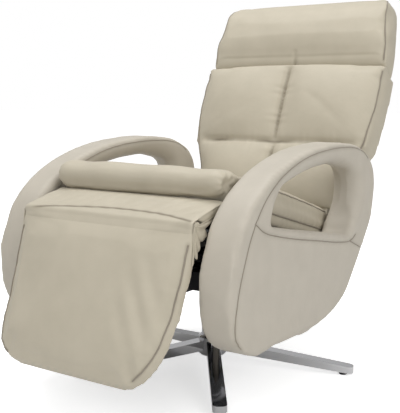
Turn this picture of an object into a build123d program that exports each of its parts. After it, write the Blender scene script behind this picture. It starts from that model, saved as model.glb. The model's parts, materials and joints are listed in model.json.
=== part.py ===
from build123d import *
from math import cos, radians, sin, sqrt, tan
import os

# Swivel recliner, millimetres. X is the sitter's left, Y runs to the back, Z is up.
# The origin lies on the floor under the swivel axis. Left pieces are at +X.

# Fits shared by all pieces
FIT = 0.05              # radial clearance of pins, shafts and pressed seats
SOFT_GAP = 0.4          # clearance between soft pieces and their neighbours
SIDE_GAP = 1.0          # side play between plates that pass each other
PLATE = 5.0             # thickness of the steel plates in the mechanism

# Five-star base
LEG_COUNT = 5
BASE_RADIUS = 405.0     # tip of a leg from the swivel axis
LEG_WIDTH = 36.0
LEG_ROOT_HEIGHT = 30.0
LEG_TIP_HEIGHT = 18.0
LEG_ROOT_TOP = 74.0
LEG_TIP_TOP = 24.0
LEG_TIP_ROUND = 13.0
LEG_EDGE_ROUND = 4.0
GLIDE_RADIUS = 12.0
GLIDE_EDGE = 2.0
GLIDE_INSET = 28.0      # glide axis from the leg tip
HUB_RADIUS = 40.0
HUB_BOTTOM = 26.0
HUB_TOP = 84.0
HUB_FLOOR = 12.0
HUB_CHAMFER = 5.0

# Column and swivel bearing
COLUMN_RADIUS = 30.0
COLUMN_BORE = 22.0
COLUMN_TOP = 258.0
BUSH_LENGTH = 90.0
SPINDLE_RADIUS = 17.5
THRUST_RING = 6.0
SPINDLE_FLANGE_RADIUS = 42.0
SPINDLE_FLANGE = 8.0
BEARING_GAP = 0.1       # axial running gap on the thrust ring

# Chassis under the seat
SWIVEL_PLATE_X = 230.0
SWIVEL_PLATE_Y = 230.0
SWIVEL_PLATE = 8.0
CHASSIS_RAIL_X = 95.0   # rail centre from the middle
CHASSIS_RAIL_WIDTH = 30.0
CHASSIS_RAIL_HEIGHT = 40.0
TUBE_WALL = 2.5
FRONT_BEAM_Y = -305.0
FRONT_BEAM_DEPTH = 40.0
FRONT_BEAM_RISE = 20.0  # underside above the chassis rails' underside
FRONT_BEAM_HEIGHT = 45.0
REAR_TUBE_Y = 120.0
REAR_TUBE_DEPTH = 40.0

# Arms
ARM_INNER_X = 267.0
ARM_WIDTH = 93.0
ARM_SKIN = 14.0         # foam and leather over the arm frame
ARM_OUTLINE = (
    (-473, 320), (-443, 452), (-392, 521), (-306, 577), (-175, 621), (-20, 641),
    (110, 641), (215, 622), (285, 580), (309, 520), (297, 440), (272, 391), (183, 289),
    (98, 214), (-46, 178), (-254, 180), (-385, 188), (-450, 236),
)
ARM_LOOP = (
    (-306, 469), (-273, 520), (-200, 555), (-46, 583), (96, 583), (186, 545),
    (186, 468), (138, 389),
)
ARM_LOOP_ROUND = 16.0
ARM_PLATE_DEPTH = 80.0
ARM_PLATE_HEIGHT = 74.0

# Seat: raked back, cushion underside through this point
SEAT_RAKE = 15.5
SEAT_Y = -330.0
SEAT_Z = 497.0
SEAT_HALF_WIDTH = 261.0
SEAT_LENGTH = 570.0
SEAT_SIDE_HEIGHT = 98.0
SEAT_CROWN = 16.0
SEAT_SIDE_INSET = 11.0
ROLL_RADIUS = 41.0
ROLL_CENTRE = (-19.0, 63.0)
ROLL_CHANNEL = 9.0      # dip behind the front roll
SEAT_END_ROUND = 48.0
SEAT_RAIL_X = 225.0
SEAT_RAIL_WIDTH = 25.0
SEAT_RAIL_HEIGHT = 40.0
SEAT_RAIL_FRONT = -20.0
SEAT_RAIL_BEHIND = 85.0  # rails run on behind the cushion
WEBBING = 3.0
WEBBING_WIDTH = 60.0
WEBBING_COUNT = 6
WEBBING_FIRST = 60.0
WEBBING_PITCH = 86.0
POST_SIZE = 25.0
SEAT_REAR_TUBE = 30.0
SEAT_REAR_TUBE_BEHIND = 35.0  # middle of the tube behind the cushion

# Legrest, hanging from the hinge at the front of the flap
LEGREST_Y = -452.0
LEGREST_Z = 466.0
LEGREST_LEAN = 19.5
LEGREST_ROLL = 28.7     # radius of the pad's rolled top about the hinge
LEGREST_LENGTH = 368.0
LEGREST_TOP_HALF = 260.0
LEGREST_LOW_HALF = 235.0
LEGREST_CORNER = 112.0
LEGREST_CROWN = 12.0
LEGREST_SIDE_DROP = 9.0
LEGREST_PAD_BACK = 6.0
LEGREST_BOARD = 12.0
FLAP_SLOPE = 14.8
FLAP_THICKNESS = 21.0
FLAP_START = 12.0
FLAP_END = 104.0
FLAP_HALF_WIDTH = 258.0
FLAP_CROWN = 2.0
EYE_RADIUS = 15.0
LEGREST_PIN = 6.0
SLOT_FAN = (-95, 131, 15)  # directions that the supports sweep behind the pad, degrees

# Legrest drive: two cranks on a torque tube push two links
TORQUE_Y = -170.0
TORQUE_Z = 400.0
TORQUE_TUBE = 12.5
JOURNAL = 8.0
CRANK_Y = 30.0          # crank pin from the torque tube at rest
CRANK_Z = -60.0
CRANK_EYE = 11.0
LINK_PIN = 5.0
LINK_HEAD = 8.0
LINK_HEAD_THICKNESS = 3.0
LINK_HALF_HEIGHT = 8.0
LINK_END_PLAY = 0.4     # play of the link on the lever pin
MOTOR_CASE = 34.0
MOTOR_CASE_LENGTH = 90.0
MOTOR_CAN = 21.0
MOTOR_CAN_LENGTH = 105.0
MOTOR_FOOT = 5.0

# Battery pack and control box on the swivel plate
BATTERY = (130.0, 76.0, 34.0)
CONTROL_BOX = (110.0, 62.0, 26.0)
BOX_ROUND = 6.0
BOX_Y = 58.0            # middle of each box, behind and before the spindle

# Back, leaning back about the recline shaft
BACK_SETBACK = 71.03    # shaft behind the seat cushion, along the seat
BACK_RISE = 45.98       # shaft above the cushion's underside
BACK_LEAN = 24.0
SHAFT_RADIUS = 10.0
BACK_START = 50.0       # cushion bottom along the back
BACK_SEAM = 252.0       # cross seam
BACK_TOP = 516.0
BACK_WIDTHS = (         # height along the back and half-width there
    (BACK_START, 246), (150, 256), (BACK_SEAM, 298), (385, 312), (BACK_TOP, 314),
)
BACK_FRONT_SIDE = 44.0  # side edge of the cushion, forward of the shaft
BACK_FRONT_SEAM = 58.0  # seams
BACK_FRONT_CROWN = 84.0  # middle of each field
BACK_SWELL = 4.0        # rise of the seams and sides between the rows
CUSHION_BACK = -40.0
BACK_BOARD = 15.0
BACK_BOARD_INSET = 18.0
BACK_BOARD_START = 20.0
BACK_BOARD_TOP = 495.0
BACK_COVER = 18.0
BACK_COVER_INSET = 6.0
HINGE_TANG_END = 200.0
HINGE_EYE = 20.0

# Headrest, tilting on a hinge above the back board
HEAD_U = 565.0          # hinge along the back
HEAD_N = -24.0          # hinge forward of the recline shaft
HEAD_SWEEP = 68.0       # radius of the pad's rolled bottom about the hinge
HEAD_TOP = 768.0
HEAD_HALF_WIDTH = 311.0
HEAD_FRONT = 44.0
HEAD_LEAN = 14.0        # the front leans forward by this up to its top round
HEAD_CROWN = 18.0
HEAD_SIDE_DROP = 6.0
HEAD_BACK = -38.0
HEAD_TOP_ROUND = 82.0   # height of the round from the front to the top
HEAD_REAR_ROUND = 18.0
HEAD_CORNER = 60.0
HEAD_LOW_CORNER = 18.0
HEAD_MARGIN = 4.0       # corner rounds start this far outside the rolled edges
HEAD_BOARD = 12.0
HEAD_BOARD_RISE = 25.0  # board above the hinge
HEAD_BOARD_HEIGHT = 145.0
HEAD_BOARD_HALF = 260.0
HEAD_ARM_X = 104.0
HEAD_EYE = 13.0
HEAD_PIN = 5.0
EAR_TANG_START = 400.0
HEAD_SWING_FRONT = 42.0  # room each way for the ears inside the tilting pad
HEAD_SWING_BACK = 31.0

# Places worked out from the sizes above
SPINDLE_FLANGE_Z = COLUMN_TOP + THRUST_RING + BEARING_GAP
PLATE_Z = SPINDLE_FLANGE_Z + SPINDLE_FLANGE
CHASSIS_Z = PLATE_Z + SWIVEL_PLATE
CHASSIS_TOP = CHASSIS_Z + CHASSIS_RAIL_HEIGHT
FRONT_BEAM_Z = CHASSIS_Z + FRONT_BEAM_RISE
CROSS_BEAMS = (         # place, underside and top of each beam between the arms
    (FRONT_BEAM_Y, FRONT_BEAM_Z, FRONT_BEAM_Z + FRONT_BEAM_HEIGHT),
    (REAR_TUBE_Y, CHASSIS_Z, CHASSIS_TOP),
)
BEAM_HALF_SPAN = ARM_INNER_X - PLATE
BRACKET_X = SEAT_RAIL_X - SEAT_RAIL_WIDTH / 2 - PLATE
LEVER_X = BRACKET_X - SIDE_GAP - PLATE
LINK_X = LEVER_X - SIDE_GAP - PLATE
EAR_X = HEAD_ARM_X + PLATE + SIDE_GAP
RAIL_TOP = -WEBBING
RAIL_BOTTOM = RAIL_TOP - SEAT_RAIL_HEIGHT

SEAT_RAIL_END = SEAT_LENGTH + SEAT_RAIL_BEHIND
SEAT_REAR_TUBE_AT = SEAT_LENGTH + SEAT_REAR_TUBE_BEHIND
HEAD_BOARD_START = HEAD_U + HEAD_BOARD_RISE
HEAD_BOARD_TOP = HEAD_BOARD_START + HEAD_BOARD_HEIGHT

SEAT = Location((0, SEAT_Y, SEAT_Z), (-SEAT_RAKE, 0, 0))
LEGREST = Location((0, LEGREST_Y, LEGREST_Z), (-LEGREST_LEAN, 0, 0))
FLAP = Location((0, LEGREST_Y, LEGREST_Z), (FLAP_SLOPE, 0, 0))


def place_of(frame, point):
    """Side-view place (y, z) of a point given along and above a raked frame."""
    spot = (frame * Location((0, point[0], point[1]))).position
    return (spot.Y, spot.Z)


BACK_Y, BACK_Z = place_of(SEAT, (SEAT_LENGTH + BACK_SETBACK, BACK_RISE))
BACK = Location((0, BACK_Y, BACK_Z), (-BACK_LEAN, 0, 0))


def side_plate(face, inner_x, thickness):
    """Extrude a side-view face outwards from inner_x."""
    return extrude(Plane.YZ.offset(inner_x) * face, amount=thickness)


def both_sides(part):
    return [part, mirror(part, about=Plane.YZ)]


def disc(centre, radius):
    return Pos(centre[0], centre[1]) * Circle(radius)


def polygon(points):
    return make_face(Polyline(*points, close=True))


def cross_pin(centre, radius, start_x, end_x):
    """Round bar along X through a side-view point."""
    return side_plate(disc(centre, radius), start_x, end_x - start_x)


def slab(size, centre):
    return Pos(*centre) * Box(*size)


def square_tube_x(depth, height, half_span, wall, centre_y, centre_z):
    outer = slab((2 * half_span, depth, height), (0, centre_y, centre_z))
    inner = slab((2 * half_span, depth - 2 * wall, height - 2 * wall), (0, centre_y, centre_z))
    return outer - inner


def save(name, solids):
    """Write one node; a list of solids stays a group of separate solids."""
    shape = Compound(children=list(solids)) if isinstance(solids, list) else solids
    export_step(shape, f"parts/{name}.step")


# Base

def leg_bar(index):
    """Flat bar that thins towards its rounded tip and butts against the hub."""
    side = polygon((
        (0, LEG_ROOT_TOP - LEG_ROOT_HEIGHT), (BASE_RADIUS, LEG_TIP_TOP - LEG_TIP_HEIGHT),
        (BASE_RADIUS, LEG_TIP_TOP), (0, LEG_ROOT_TOP),
    ))
    bar = extrude(Plane.XZ.offset(-LEG_WIDTH / 2) * side, amount=LEG_WIDTH)
    tip = bar.edges().filter_by(Axis.Z).group_by(Axis.X)[-1]
    bar = fillet(tip, LEG_TIP_ROUND)
    bar = fillet(bar.faces().sort_by(Axis.Z)[-1].edges(), LEG_EDGE_ROUND)
    bar = bar - Cylinder(HUB_RADIUS + FIT, 4 * LEG_ROOT_TOP)
    return Rot(0, 0, 90 + index * 360 / LEG_COUNT) * bar


def glide(index, leg):
    """Foot under a leg tip, cut off by the sloping underside of the leg."""
    foot = revolve(Plane.XZ * polygon((
        (0, 0), (GLIDE_RADIUS - GLIDE_EDGE, 0), (GLIDE_RADIUS, GLIDE_EDGE),
        (GLIDE_RADIUS, LEG_TIP_HEIGHT), (0, LEG_TIP_HEIGHT),
    )), Axis.Z)
    turn = Rot(0, 0, 90 + index * 360 / LEG_COUNT)
    return turn * Pos(BASE_RADIUS - GLIDE_INSET, 0, 0) * foot - leg


def base_hub():
    middle = (HUB_BOTTOM + HUB_TOP) / 2
    hub = Pos(0, 0, middle) * Cylinder(HUB_RADIUS, HUB_TOP - HUB_BOTTOM)
    hub = chamfer(hub.edges().filter_by(GeomType.CIRCLE), HUB_CHAMFER)
    seat = HUB_BOTTOM + HUB_FLOOR
    return hub - Pos(0, 0, seat) * Cylinder(
        COLUMN_RADIUS + FIT, HUB_TOP, align=(Align.CENTER, Align.CENTER, Align.MIN))


def ring_z(outer, inner, bottom, top):
    return extrude(Plane.XY.offset(bottom) * (Circle(outer) - Circle(inner)), amount=top - bottom)


def swivel_spindle():
    pin_bottom = COLUMN_TOP - BUSH_LENGTH - SPINDLE_RADIUS
    pin = extrude(Plane.XY.offset(pin_bottom) * Circle(SPINDLE_RADIUS),
                  amount=SPINDLE_FLANGE_Z - pin_bottom)
    flange = extrude(Plane.XY.offset(SPINDLE_FLANGE_Z) * Circle(SPINDLE_FLANGE_RADIUS),
                     amount=SPINDLE_FLANGE)
    return pin + flange


def make_base():
    legs = [leg_bar(index) for index in range(LEG_COUNT)]
    for index, leg in enumerate(legs):
        save(f"base_leg_{index + 1}", leg)
    save("leg_glides", [glide(index, leg) for index, leg in enumerate(legs)])
    save("base_hub", base_hub())
    save("column_tube", ring_z(COLUMN_RADIUS, COLUMN_BORE, HUB_BOTTOM + HUB_FLOOR, COLUMN_TOP))
    save("column_bush", ring_z(COLUMN_BORE - FIT, SPINDLE_RADIUS + FIT,
                               COLUMN_TOP - BUSH_LENGTH, COLUMN_TOP))
    save("thrust_ring", ring_z(COLUMN_RADIUS, SPINDLE_RADIUS + FIT,
                               COLUMN_TOP, COLUMN_TOP + THRUST_RING))


# Chassis

def swivel_plate():
    outline = RectangleRounded(SWIVEL_PLATE_X, SWIVEL_PLATE_Y, CHASSIS_RAIL_WIDTH)
    return extrude(Plane.XY.offset(PLATE_Z) * outline, amount=SWIVEL_PLATE)


def chassis_rail():
    """Square tube from the front beam back to the rear cross tube."""
    front = FRONT_BEAM_Y + FRONT_BEAM_DEPTH / 2
    rear = REAR_TUBE_Y - REAR_TUBE_DEPTH / 2
    outer = Rectangle(CHASSIS_RAIL_WIDTH, CHASSIS_RAIL_HEIGHT)
    inner = Rectangle(CHASSIS_RAIL_WIDTH - 2 * TUBE_WALL, CHASSIS_RAIL_HEIGHT - 2 * TUBE_WALL)
    tube = extrude(Plane.XZ * (outer - inner), amount=rear - front)
    return Pos(CHASSIS_RAIL_X, rear, CHASSIS_Z + CHASSIS_RAIL_HEIGHT / 2) * tube


def front_beam():
    return square_tube_x(FRONT_BEAM_DEPTH, FRONT_BEAM_HEIGHT, BEAM_HALF_SPAN, TUBE_WALL,
                         FRONT_BEAM_Y, FRONT_BEAM_Z + FRONT_BEAM_HEIGHT / 2)


def rear_cross_tube():
    return square_tube_x(REAR_TUBE_DEPTH, CHASSIS_RAIL_HEIGHT, BEAM_HALF_SPAN, TUBE_WALL,
                         REAR_TUBE_Y, CHASSIS_Z + CHASSIS_RAIL_HEIGHT / 2)


def arm_mount_plates():
    """End plates that close the beams and bolt to the arms."""
    plates = []
    for beam_y, low, high in CROSS_BEAMS:
        outline = Pos(beam_y, (low + high) / 2) * RectangleRounded(ARM_PLATE_DEPTH, ARM_PLATE_HEIGHT, PLATE)
        plates += both_sides(side_plate(outline, BEAM_HALF_SPAN, PLATE))
    return plates


def rounded_box(size, middle_y):
    box = slab(size, (0, middle_y, CHASSIS_Z + size[2] / 2))
    return fillet(box.edges().filter_by(Axis.Z), BOX_ROUND)


# Seat

def seat_rail():
    """Closed bar under the cushion edge, from the legrest to the recline bracket."""
    corners = [(SEAT_RAIL_FRONT, RAIL_BOTTOM), (SEAT_RAIL_END, RAIL_BOTTOM),
               (SEAT_RAIL_END, RAIL_TOP), (SEAT_RAIL_FRONT, RAIL_TOP)]
    outline = polygon([place_of(SEAT, corner) for corner in corners])
    inner_x = SEAT_RAIL_X - SEAT_RAIL_WIDTH / 2
    return side_plate(outline, inner_x, SEAT_RAIL_WIDTH)


def seat_posts():
    """Uprights from the cross beams, cut to the rake of the seat rails."""
    posts = []
    for beam_y, _, foot in CROSS_BEAMS:
        along = [(beam_y + shift - SEAT_Y) for shift in (-POST_SIZE / 2, POST_SIZE / 2)]
        tops = [SEAT_Z + RAIL_BOTTOM / cos(radians(SEAT_RAKE)) - run * tan(radians(SEAT_RAKE))
                for run in along]
        outline = polygon([(SEAT_Y + along[0], foot), (SEAT_Y + along[1], foot),
                           (SEAT_Y + along[1], tops[1]), (SEAT_Y + along[0], tops[0])])
        posts += both_sides(side_plate(outline, SEAT_RAIL_X - POST_SIZE / 2, POST_SIZE))
    return posts


def seat_rear_tube():
    """Tube between the recline brackets that carries the back motor."""
    half = SEAT_REAR_TUBE / 2
    middle = (RAIL_TOP + RAIL_BOTTOM) / 2
    corners = [(SEAT_REAR_TUBE_AT - half, middle - half), (SEAT_REAR_TUBE_AT + half, middle - half),
               (SEAT_REAR_TUBE_AT + half, middle + half), (SEAT_REAR_TUBE_AT - half, middle + half)]
    outline = polygon([place_of(SEAT, corner) for corner in corners])
    return side_plate(outline, -BRACKET_X, 2 * BRACKET_X)


def seat_webbing():
    span = 2 * SEAT_RAIL_X + SEAT_RAIL_WIDTH
    strips = []
    for index in range(WEBBING_COUNT):
        along = WEBBING_FIRST + index * WEBBING_PITCH
        strips.append(SEAT * slab((span, WEBBING_WIDTH, WEBBING), (0, along, -WEBBING / 2)))
    return strips


def seat_section(x, inset, crown):
    """Side view of the cushion at x: front roll, channel behind it, crowned top, round end."""
    roll_y, roll_z = ROLL_CENTRE
    radius = ROLL_RADIUS - inset
    slant = radius * sin(radians(45))
    top = SEAT_SIDE_HEIGHT - inset
    end = SEAT_LENGTH - inset
    channel = (roll_y + 1.5 * ROLL_RADIUS, roll_z + radius - ROLL_CHANNEL)
    shoulder = (end - SEAT_END_ROUND * 0.85, top - SEAT_END_ROUND * 0.1)
    turn = (end - SEAT_END_ROUND * 0.2, top - SEAT_END_ROUND * 0.4)
    rear = (end, top - SEAT_END_ROUND)
    low = SOFT_GAP
    edges = [
        Line((roll_y + ROLL_RADIUS, low), (roll_y, roll_z - radius)),
        ThreePointArc((roll_y, roll_z - radius), (roll_y - slant, roll_z - slant),
                      (roll_y - radius, roll_z)),
        ThreePointArc((roll_y - radius, roll_z), (roll_y - slant, roll_z + slant),
                      (roll_y, roll_z + radius)),
        ThreePointArc((roll_y, roll_z + radius), (roll_y + ROLL_RADIUS, roll_z + radius - ROLL_CHANNEL / 9), channel),
        ThreePointArc(channel, ((channel[0] + end) / 2, top + crown), shoulder),
        ThreePointArc(shoulder, turn, rear),
        Line(rear, (end, low)),
        Line((end, low), (roll_y + ROLL_RADIUS, low)),
    ]
    return Plane.YZ.offset(x) * make_face(edges)


def seat_cushion():
    """Sections from side to side, drawn in at the sides and crowned in the middle."""
    half = [(0.5, 0.0, 0.8), (0.9, 0.0, 0.3), (0.97, 0.35, 0.1), (1.0, 1.0, 0.0)]
    stations = [(-across, draw, crown) for across, draw, crown in reversed(half)]
    stations += [(0.0, 0.0, 1.0)] + half
    sections = [seat_section(SEAT_HALF_WIDTH * across, SEAT_SIDE_INSET * draw, SEAT_CROWN * crown)
                for across, draw, crown in stations]
    return SEAT * loft(sections)


def make_chassis():
    save("swivel_spindle", swivel_spindle())
    save("swivel_plate", swivel_plate())
    for side, rail in zip(("left", "right"), both_sides(chassis_rail())):
        save(f"chassis_rail_{side}", rail)
    save("front_beam", front_beam())
    save("rear_cross_tube", rear_cross_tube())
    save("arm_mount_plates", arm_mount_plates())
    save("battery_pack", rounded_box(BATTERY, BOX_Y))
    save("control_box", rounded_box(CONTROL_BOX, -BOX_Y))
    for side, rail in zip(("left", "right"), both_sides(seat_rail())):
        save(f"seat_rail_{side}", rail)
    save("seat_posts", seat_posts())
    save("seat_rear_tube", seat_rear_tube())
    save("seat_webbing", seat_webbing())
    save("seat_cushion", seat_cushion())


# Arms

def unit(vector):
    return vector / vector.length


def tangents_along(points, closed):
    """Direction of travel at each point: that of the circle through it and its neighbours."""
    count = len(points)
    directions = []
    for index in range(count):
        here = points[index]
        before = points[index - 1] if index or closed else None
        after = points[(index + 1) % count] if index < count - 1 or closed else None
        if before is None:
            directions.append(unit(after - here))
        elif after is None:
            directions.append(unit(here - before))
        else:
            run_in = here - before
            run_out = after - here
            directions.append(unit(run_in / run_in.length ** 2 + run_out / run_out.length ** 2))
    return directions


def smooth_arcs(points, closed):
    """Pairs of tangent arcs through the points, so that the curve has no kinks."""
    points = [Vector(*point) for point in points]
    directions = tangents_along(points, closed)
    arcs = []
    for index in range(len(points) if closed else len(points) - 1):
        following = (index + 1) % len(points)
        start, end = points[index], points[following]
        leave, arrive = directions[index], directions[following]
        chord = end - start
        lean = chord.dot(leave + arrive)
        spread = 2 * (1 - leave.dot(arrive))
        reach = (sqrt(lean ** 2 + spread * chord.dot(chord)) - lean) / spread
        joint = (start + leave * reach + end - arrive * reach) / 2
        arcs.append(TangentArc(start, joint, tangent=leave))
        arcs.append(TangentArc(joint, end, tangent=arcs[-1] % 1))
    return arcs


def drawn_in(points, amount):
    """Move the points of a clockwise closed curve inwards, square to their tangents."""
    spots = [Vector(*point) for point in points]
    moved = []
    for spot, along in zip(spots, tangents_along(spots, True)):
        moved.append((spot.X + amount * along.Y, spot.Y - amount * along.X))
    return moved


def arm_outline(inset):
    """Side view of the arm, one closed sweep."""
    return make_face(smooth_arcs(drawn_in(ARM_OUTLINE, inset), True))


def arm_loop(grow):
    """D-shaped opening: one sweep over the top and a straight lower edge."""
    points = drawn_in(ARM_LOOP, -grow)
    face = make_face([*smooth_arcs(points, False), Line(points[-1], points[0])])
    corners = [vertex for vertex in face.vertices()
               if min((Vector(vertex) - Vector(*end)).length for end in (points[0], points[-1])) < FIT]
    return fillet(corners, ARM_LOOP_ROUND + grow / 2)


def make_arms():
    outline = arm_outline(0)
    loop = arm_loop(0)
    face_region = arm_outline(ARM_SKIN) - arm_loop(ARM_SKIN)
    outer_x = ARM_INNER_X + ARM_WIDTH
    core = side_plate(face_region, ARM_INNER_X + ARM_SKIN, ARM_WIDTH - 2 * ARM_SKIN)
    band = side_plate(outline - arm_outline(ARM_SKIN), ARM_INNER_X, ARM_WIDTH)
    liner = side_plate(arm_loop(ARM_SKIN) - loop, ARM_INNER_X, ARM_WIDTH)
    inner_panel = side_plate(face_region, ARM_INNER_X, ARM_SKIN)
    outer_panel = side_plate(face_region, outer_x - ARM_SKIN, ARM_SKIN)
    pieces = {"arm_frame": core, "arm_band": band, "arm_liner": liner,
              "arm_inner_panel": inner_panel, "arm_outer_panel": outer_panel}
    for name, piece in pieces.items():
        for side, solid in zip(("left", "right"), both_sides(piece)):
            save(f"{name}_{side}", solid)


# Legrest and flap

def legrest_slot():
    """Room behind the hinge eyes for the supports and the leaf as the legrest turns."""
    reach = 4 * LEGREST_ROLL
    fan = [(0, 0)]
    for angle in range(*SLOT_FAN):
        fan.append((reach * cos(radians(angle)), reach * sin(radians(angle))))
    face = polygon(fan) + Circle(EYE_RADIUS + 2 * SIDE_GAP)
    inner_x = LINK_X - LINK_HEAD_THICKNESS - 2 * SIDE_GAP
    outer_x = BRACKET_X + PLATE + LINK_HEAD_THICKNESS + 2 * SIDE_GAP
    return both_sides(side_plate(face, inner_x, outer_x - inner_x))


def legrest_outline(low):
    """Front view: sides draw in towards the rounded bottom corners."""
    bottom = -LEGREST_LENGTH
    face = polygon(((-LEGREST_TOP_HALF, 2 * LEGREST_ROLL), (-LEGREST_TOP_HALF, -LEGREST_ROLL),
                    (-LEGREST_LOW_HALF, bottom), (LEGREST_LOW_HALF, bottom),
                    (LEGREST_TOP_HALF, -LEGREST_ROLL), (LEGREST_TOP_HALF, 2 * LEGREST_ROLL)))
    corners = face.vertices().group_by(Axis.Y)[0]
    return fillet(corners, low)


def legrest_pad():
    """Pad with a rolled top about the hinge, crowned along and across."""
    roll = LEGREST_ROLL
    back = LEGREST_PAD_BACK
    bottom = -LEGREST_LENGTH
    slant = roll * sin(radians(45))
    edge = roll - LEGREST_SIDE_DROP / 2
    side = make_face([
        ThreePointArc((-roll, 0), (-slant, slant), (0, roll)),
        Line((0, roll), (back, roll / 2)),
        Line((back, roll / 2), (back, bottom + back)),
        ThreePointArc((back, bottom + back), (-edge / 2, bottom), (-edge, bottom + edge)),
        ThreePointArc((-edge, bottom + edge), (-roll - LEGREST_CROWN, bottom / 2), (-roll, 0)),
    ])
    half = LEGREST_TOP_HALF
    low = -roll + LEGREST_SIDE_DROP
    high = -roll - LEGREST_CROWN - SOFT_GAP
    across = make_face([
        ThreePointArc((-half, low), (0, high), (half, low)),
        Line((half, low), (half, back)),
        Line((half, back), (-half, back)),
        Line((-half, back), (-half, low)),
    ])
    pad = side_plate(side, -half, 2 * half)
    depth = 4 * roll
    pad = pad & extrude(Plane.XZ * legrest_outline(LEGREST_CORNER), amount=depth, both=True)
    pad = pad & extrude(Plane.XY * across, amount=2 * LEGREST_LENGTH, both=True)
    for slot in legrest_slot():
        pad = pad - slot
    return LEGREST * pad


def legrest_board():
    start = LEGREST_PAD_BACK
    outline = offset(legrest_outline(LEGREST_CORNER), -2 * LEGREST_BOARD)
    below_hinge = Rectangle(4 * LEGREST_TOP_HALF, 2 * LEGREST_LENGTH)
    outline = outline & Pos(0, -LEGREST_LENGTH - EYE_RADIUS) * below_hinge
    board = extrude(Plane.XZ.offset(-start) * outline, amount=-LEGREST_BOARD)
    for slot in legrest_slot():
        board = board - slot
    return LEGREST * board


def lever_pin_place():
    return (LEGREST_Y + CRANK_Y, LEGREST_Z + CRANK_Z)


def crank_pin_place():
    return (TORQUE_Y + CRANK_Y, TORQUE_Z + CRANK_Z)


def link_stud(centre):
    """Stud with a flat head that carries one end of a link."""
    shank = cross_pin(centre, LINK_PIN, LINK_X - SIDE_GAP, LEVER_X)
    head = cross_pin(centre, LINK_HEAD, LINK_X - SIDE_GAP - LINK_HEAD_THICKNESS, LINK_X - SIDE_GAP)
    return shank + head


def legrest_leaf():
    """Hinge leaf behind the board with the lever that the link pushes."""
    hinge = (LEGREST_Y, LEGREST_Z)
    strap_front = LEGREST_PAD_BACK + LEGREST_BOARD
    strap_back = strap_front + LEGREST_BOARD
    lever = lever_pin_place()
    strap_end = -LEGREST_LENGTH / 2
    strap = [(0, EYE_RADIUS - SIDE_GAP), (strap_back, -EYE_RADIUS), (strap_back, strap_end),
             (strap_front, strap_end), (strap_front, -2 * EYE_RADIUS), (-EYE_RADIUS / 2, -EYE_RADIUS / 2)]
    face = polygon([place_of(LEGREST, corner) for corner in strap])
    face += disc(hinge, EYE_RADIUS - SIDE_GAP) + disc(lever, CRANK_EYE)
    face += lever_bar(hinge, lever)
    face -= disc(hinge, LEGREST_PIN + FIT)
    return side_plate(face, LEVER_X, PLATE) + link_stud(lever)


def lever_bar(start, end):
    """Flat bar, as wide as a crank eye, between two side-view points."""
    run_y = end[0] - start[0]
    run_z = end[1] - start[1]
    length = sqrt(run_y ** 2 + run_z ** 2)
    side_y = -run_z / length * CRANK_EYE
    side_z = run_y / length * CRANK_EYE
    return polygon([(start[0] + side_y, start[1] + side_z), (end[0] + side_y, end[1] + side_z),
                    (end[0] - side_y, end[1] - side_z), (start[0] - side_y, start[1] - side_z)])


def legrest_pivot_pin():
    hinge = (LEGREST_Y, LEGREST_Z)
    inner = LEVER_X - SIDE_GAP / 2
    outer = BRACKET_X + PLATE + SIDE_GAP / 2
    inner_head = cross_pin(hinge, LINK_HEAD, inner - LINK_HEAD_THICKNESS, inner)
    shank = cross_pin(hinge, LEGREST_PIN, inner, outer)
    outer_head = cross_pin(hinge, LINK_HEAD, outer, outer + LINK_HEAD_THICKNESS)
    return inner_head + shank + outer_head


def legrest_support():
    """Fixed plate on a seat rail: it carries the flap on top and the hinge at its tip."""
    under_flap = LEGREST_ROLL + SOFT_GAP - FLAP_THICKNESS
    under_rail = RAIL_TOP - SIDE_GAP
    at_flap = [(0, -EYE_RADIUS), (EYE_RADIUS, under_flap), (FLAP_END - EYE_RADIUS, under_flap)]
    at_rail = [(EYE_RADIUS, under_rail), (6 * EYE_RADIUS, under_rail),
               (6 * EYE_RADIUS, RAIL_BOTTOM), (SEAT_RAIL_FRONT, RAIL_BOTTOM)]
    outline = [place_of(FLAP, corner) for corner in at_flap]
    outline += [place_of(SEAT, corner) for corner in at_rail]
    hinge = (LEGREST_Y, LEGREST_Z)
    face = polygon(outline) + disc(hinge, EYE_RADIUS)
    return side_plate(face - disc(hinge, LEGREST_PIN + FIT), BRACKET_X, PLATE)


def legrest_flap():
    """Padded flap between the seat roll and the legrest, hollowed round the legrest's roll."""
    top = LEGREST_ROLL + SOFT_GAP
    low = top - FLAP_THICKNESS
    middle = (FLAP_START + FLAP_END) / 2
    face = make_face([
        Line((FLAP_START, low), (FLAP_END, low)),
        ThreePointArc((FLAP_END, low), (FLAP_END + FLAP_THICKNESS / 3, (low + top) / 2),
                      (FLAP_END, top - FLAP_CROWN)),
        ThreePointArc((FLAP_END, top - FLAP_CROWN), (middle, top + FLAP_CROWN), (FLAP_START, top)),
        Line((FLAP_START, top), (FLAP_START, low)),
    ])
    face = face - Circle(LEGREST_ROLL + SOFT_GAP)
    return FLAP * side_plate(face, -FLAP_HALF_WIDTH, 2 * FLAP_HALF_WIDTH)


# Legrest drive

def torque_tube():
    """Tube with a crank and a link stud at each end, turning in the drive brackets."""
    axis = (TORQUE_Y, TORQUE_Z)
    tube = cross_pin(axis, TORQUE_TUBE, -LINK_X + 2 * CRANK_EYE, LINK_X - 2 * CRANK_EYE)
    journal_end = BRACKET_X + PLATE - FIT
    tube += cross_pin(axis, JOURNAL, -journal_end, journal_end)
    pin = crank_pin_place()
    crank = disc(axis, TORQUE_TUBE) + disc(pin, CRANK_EYE) + lever_bar(axis, pin)
    for part in both_sides(side_plate(crank, LEVER_X, PLATE) + link_stud(pin)):
        tube += part
    return tube


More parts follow.
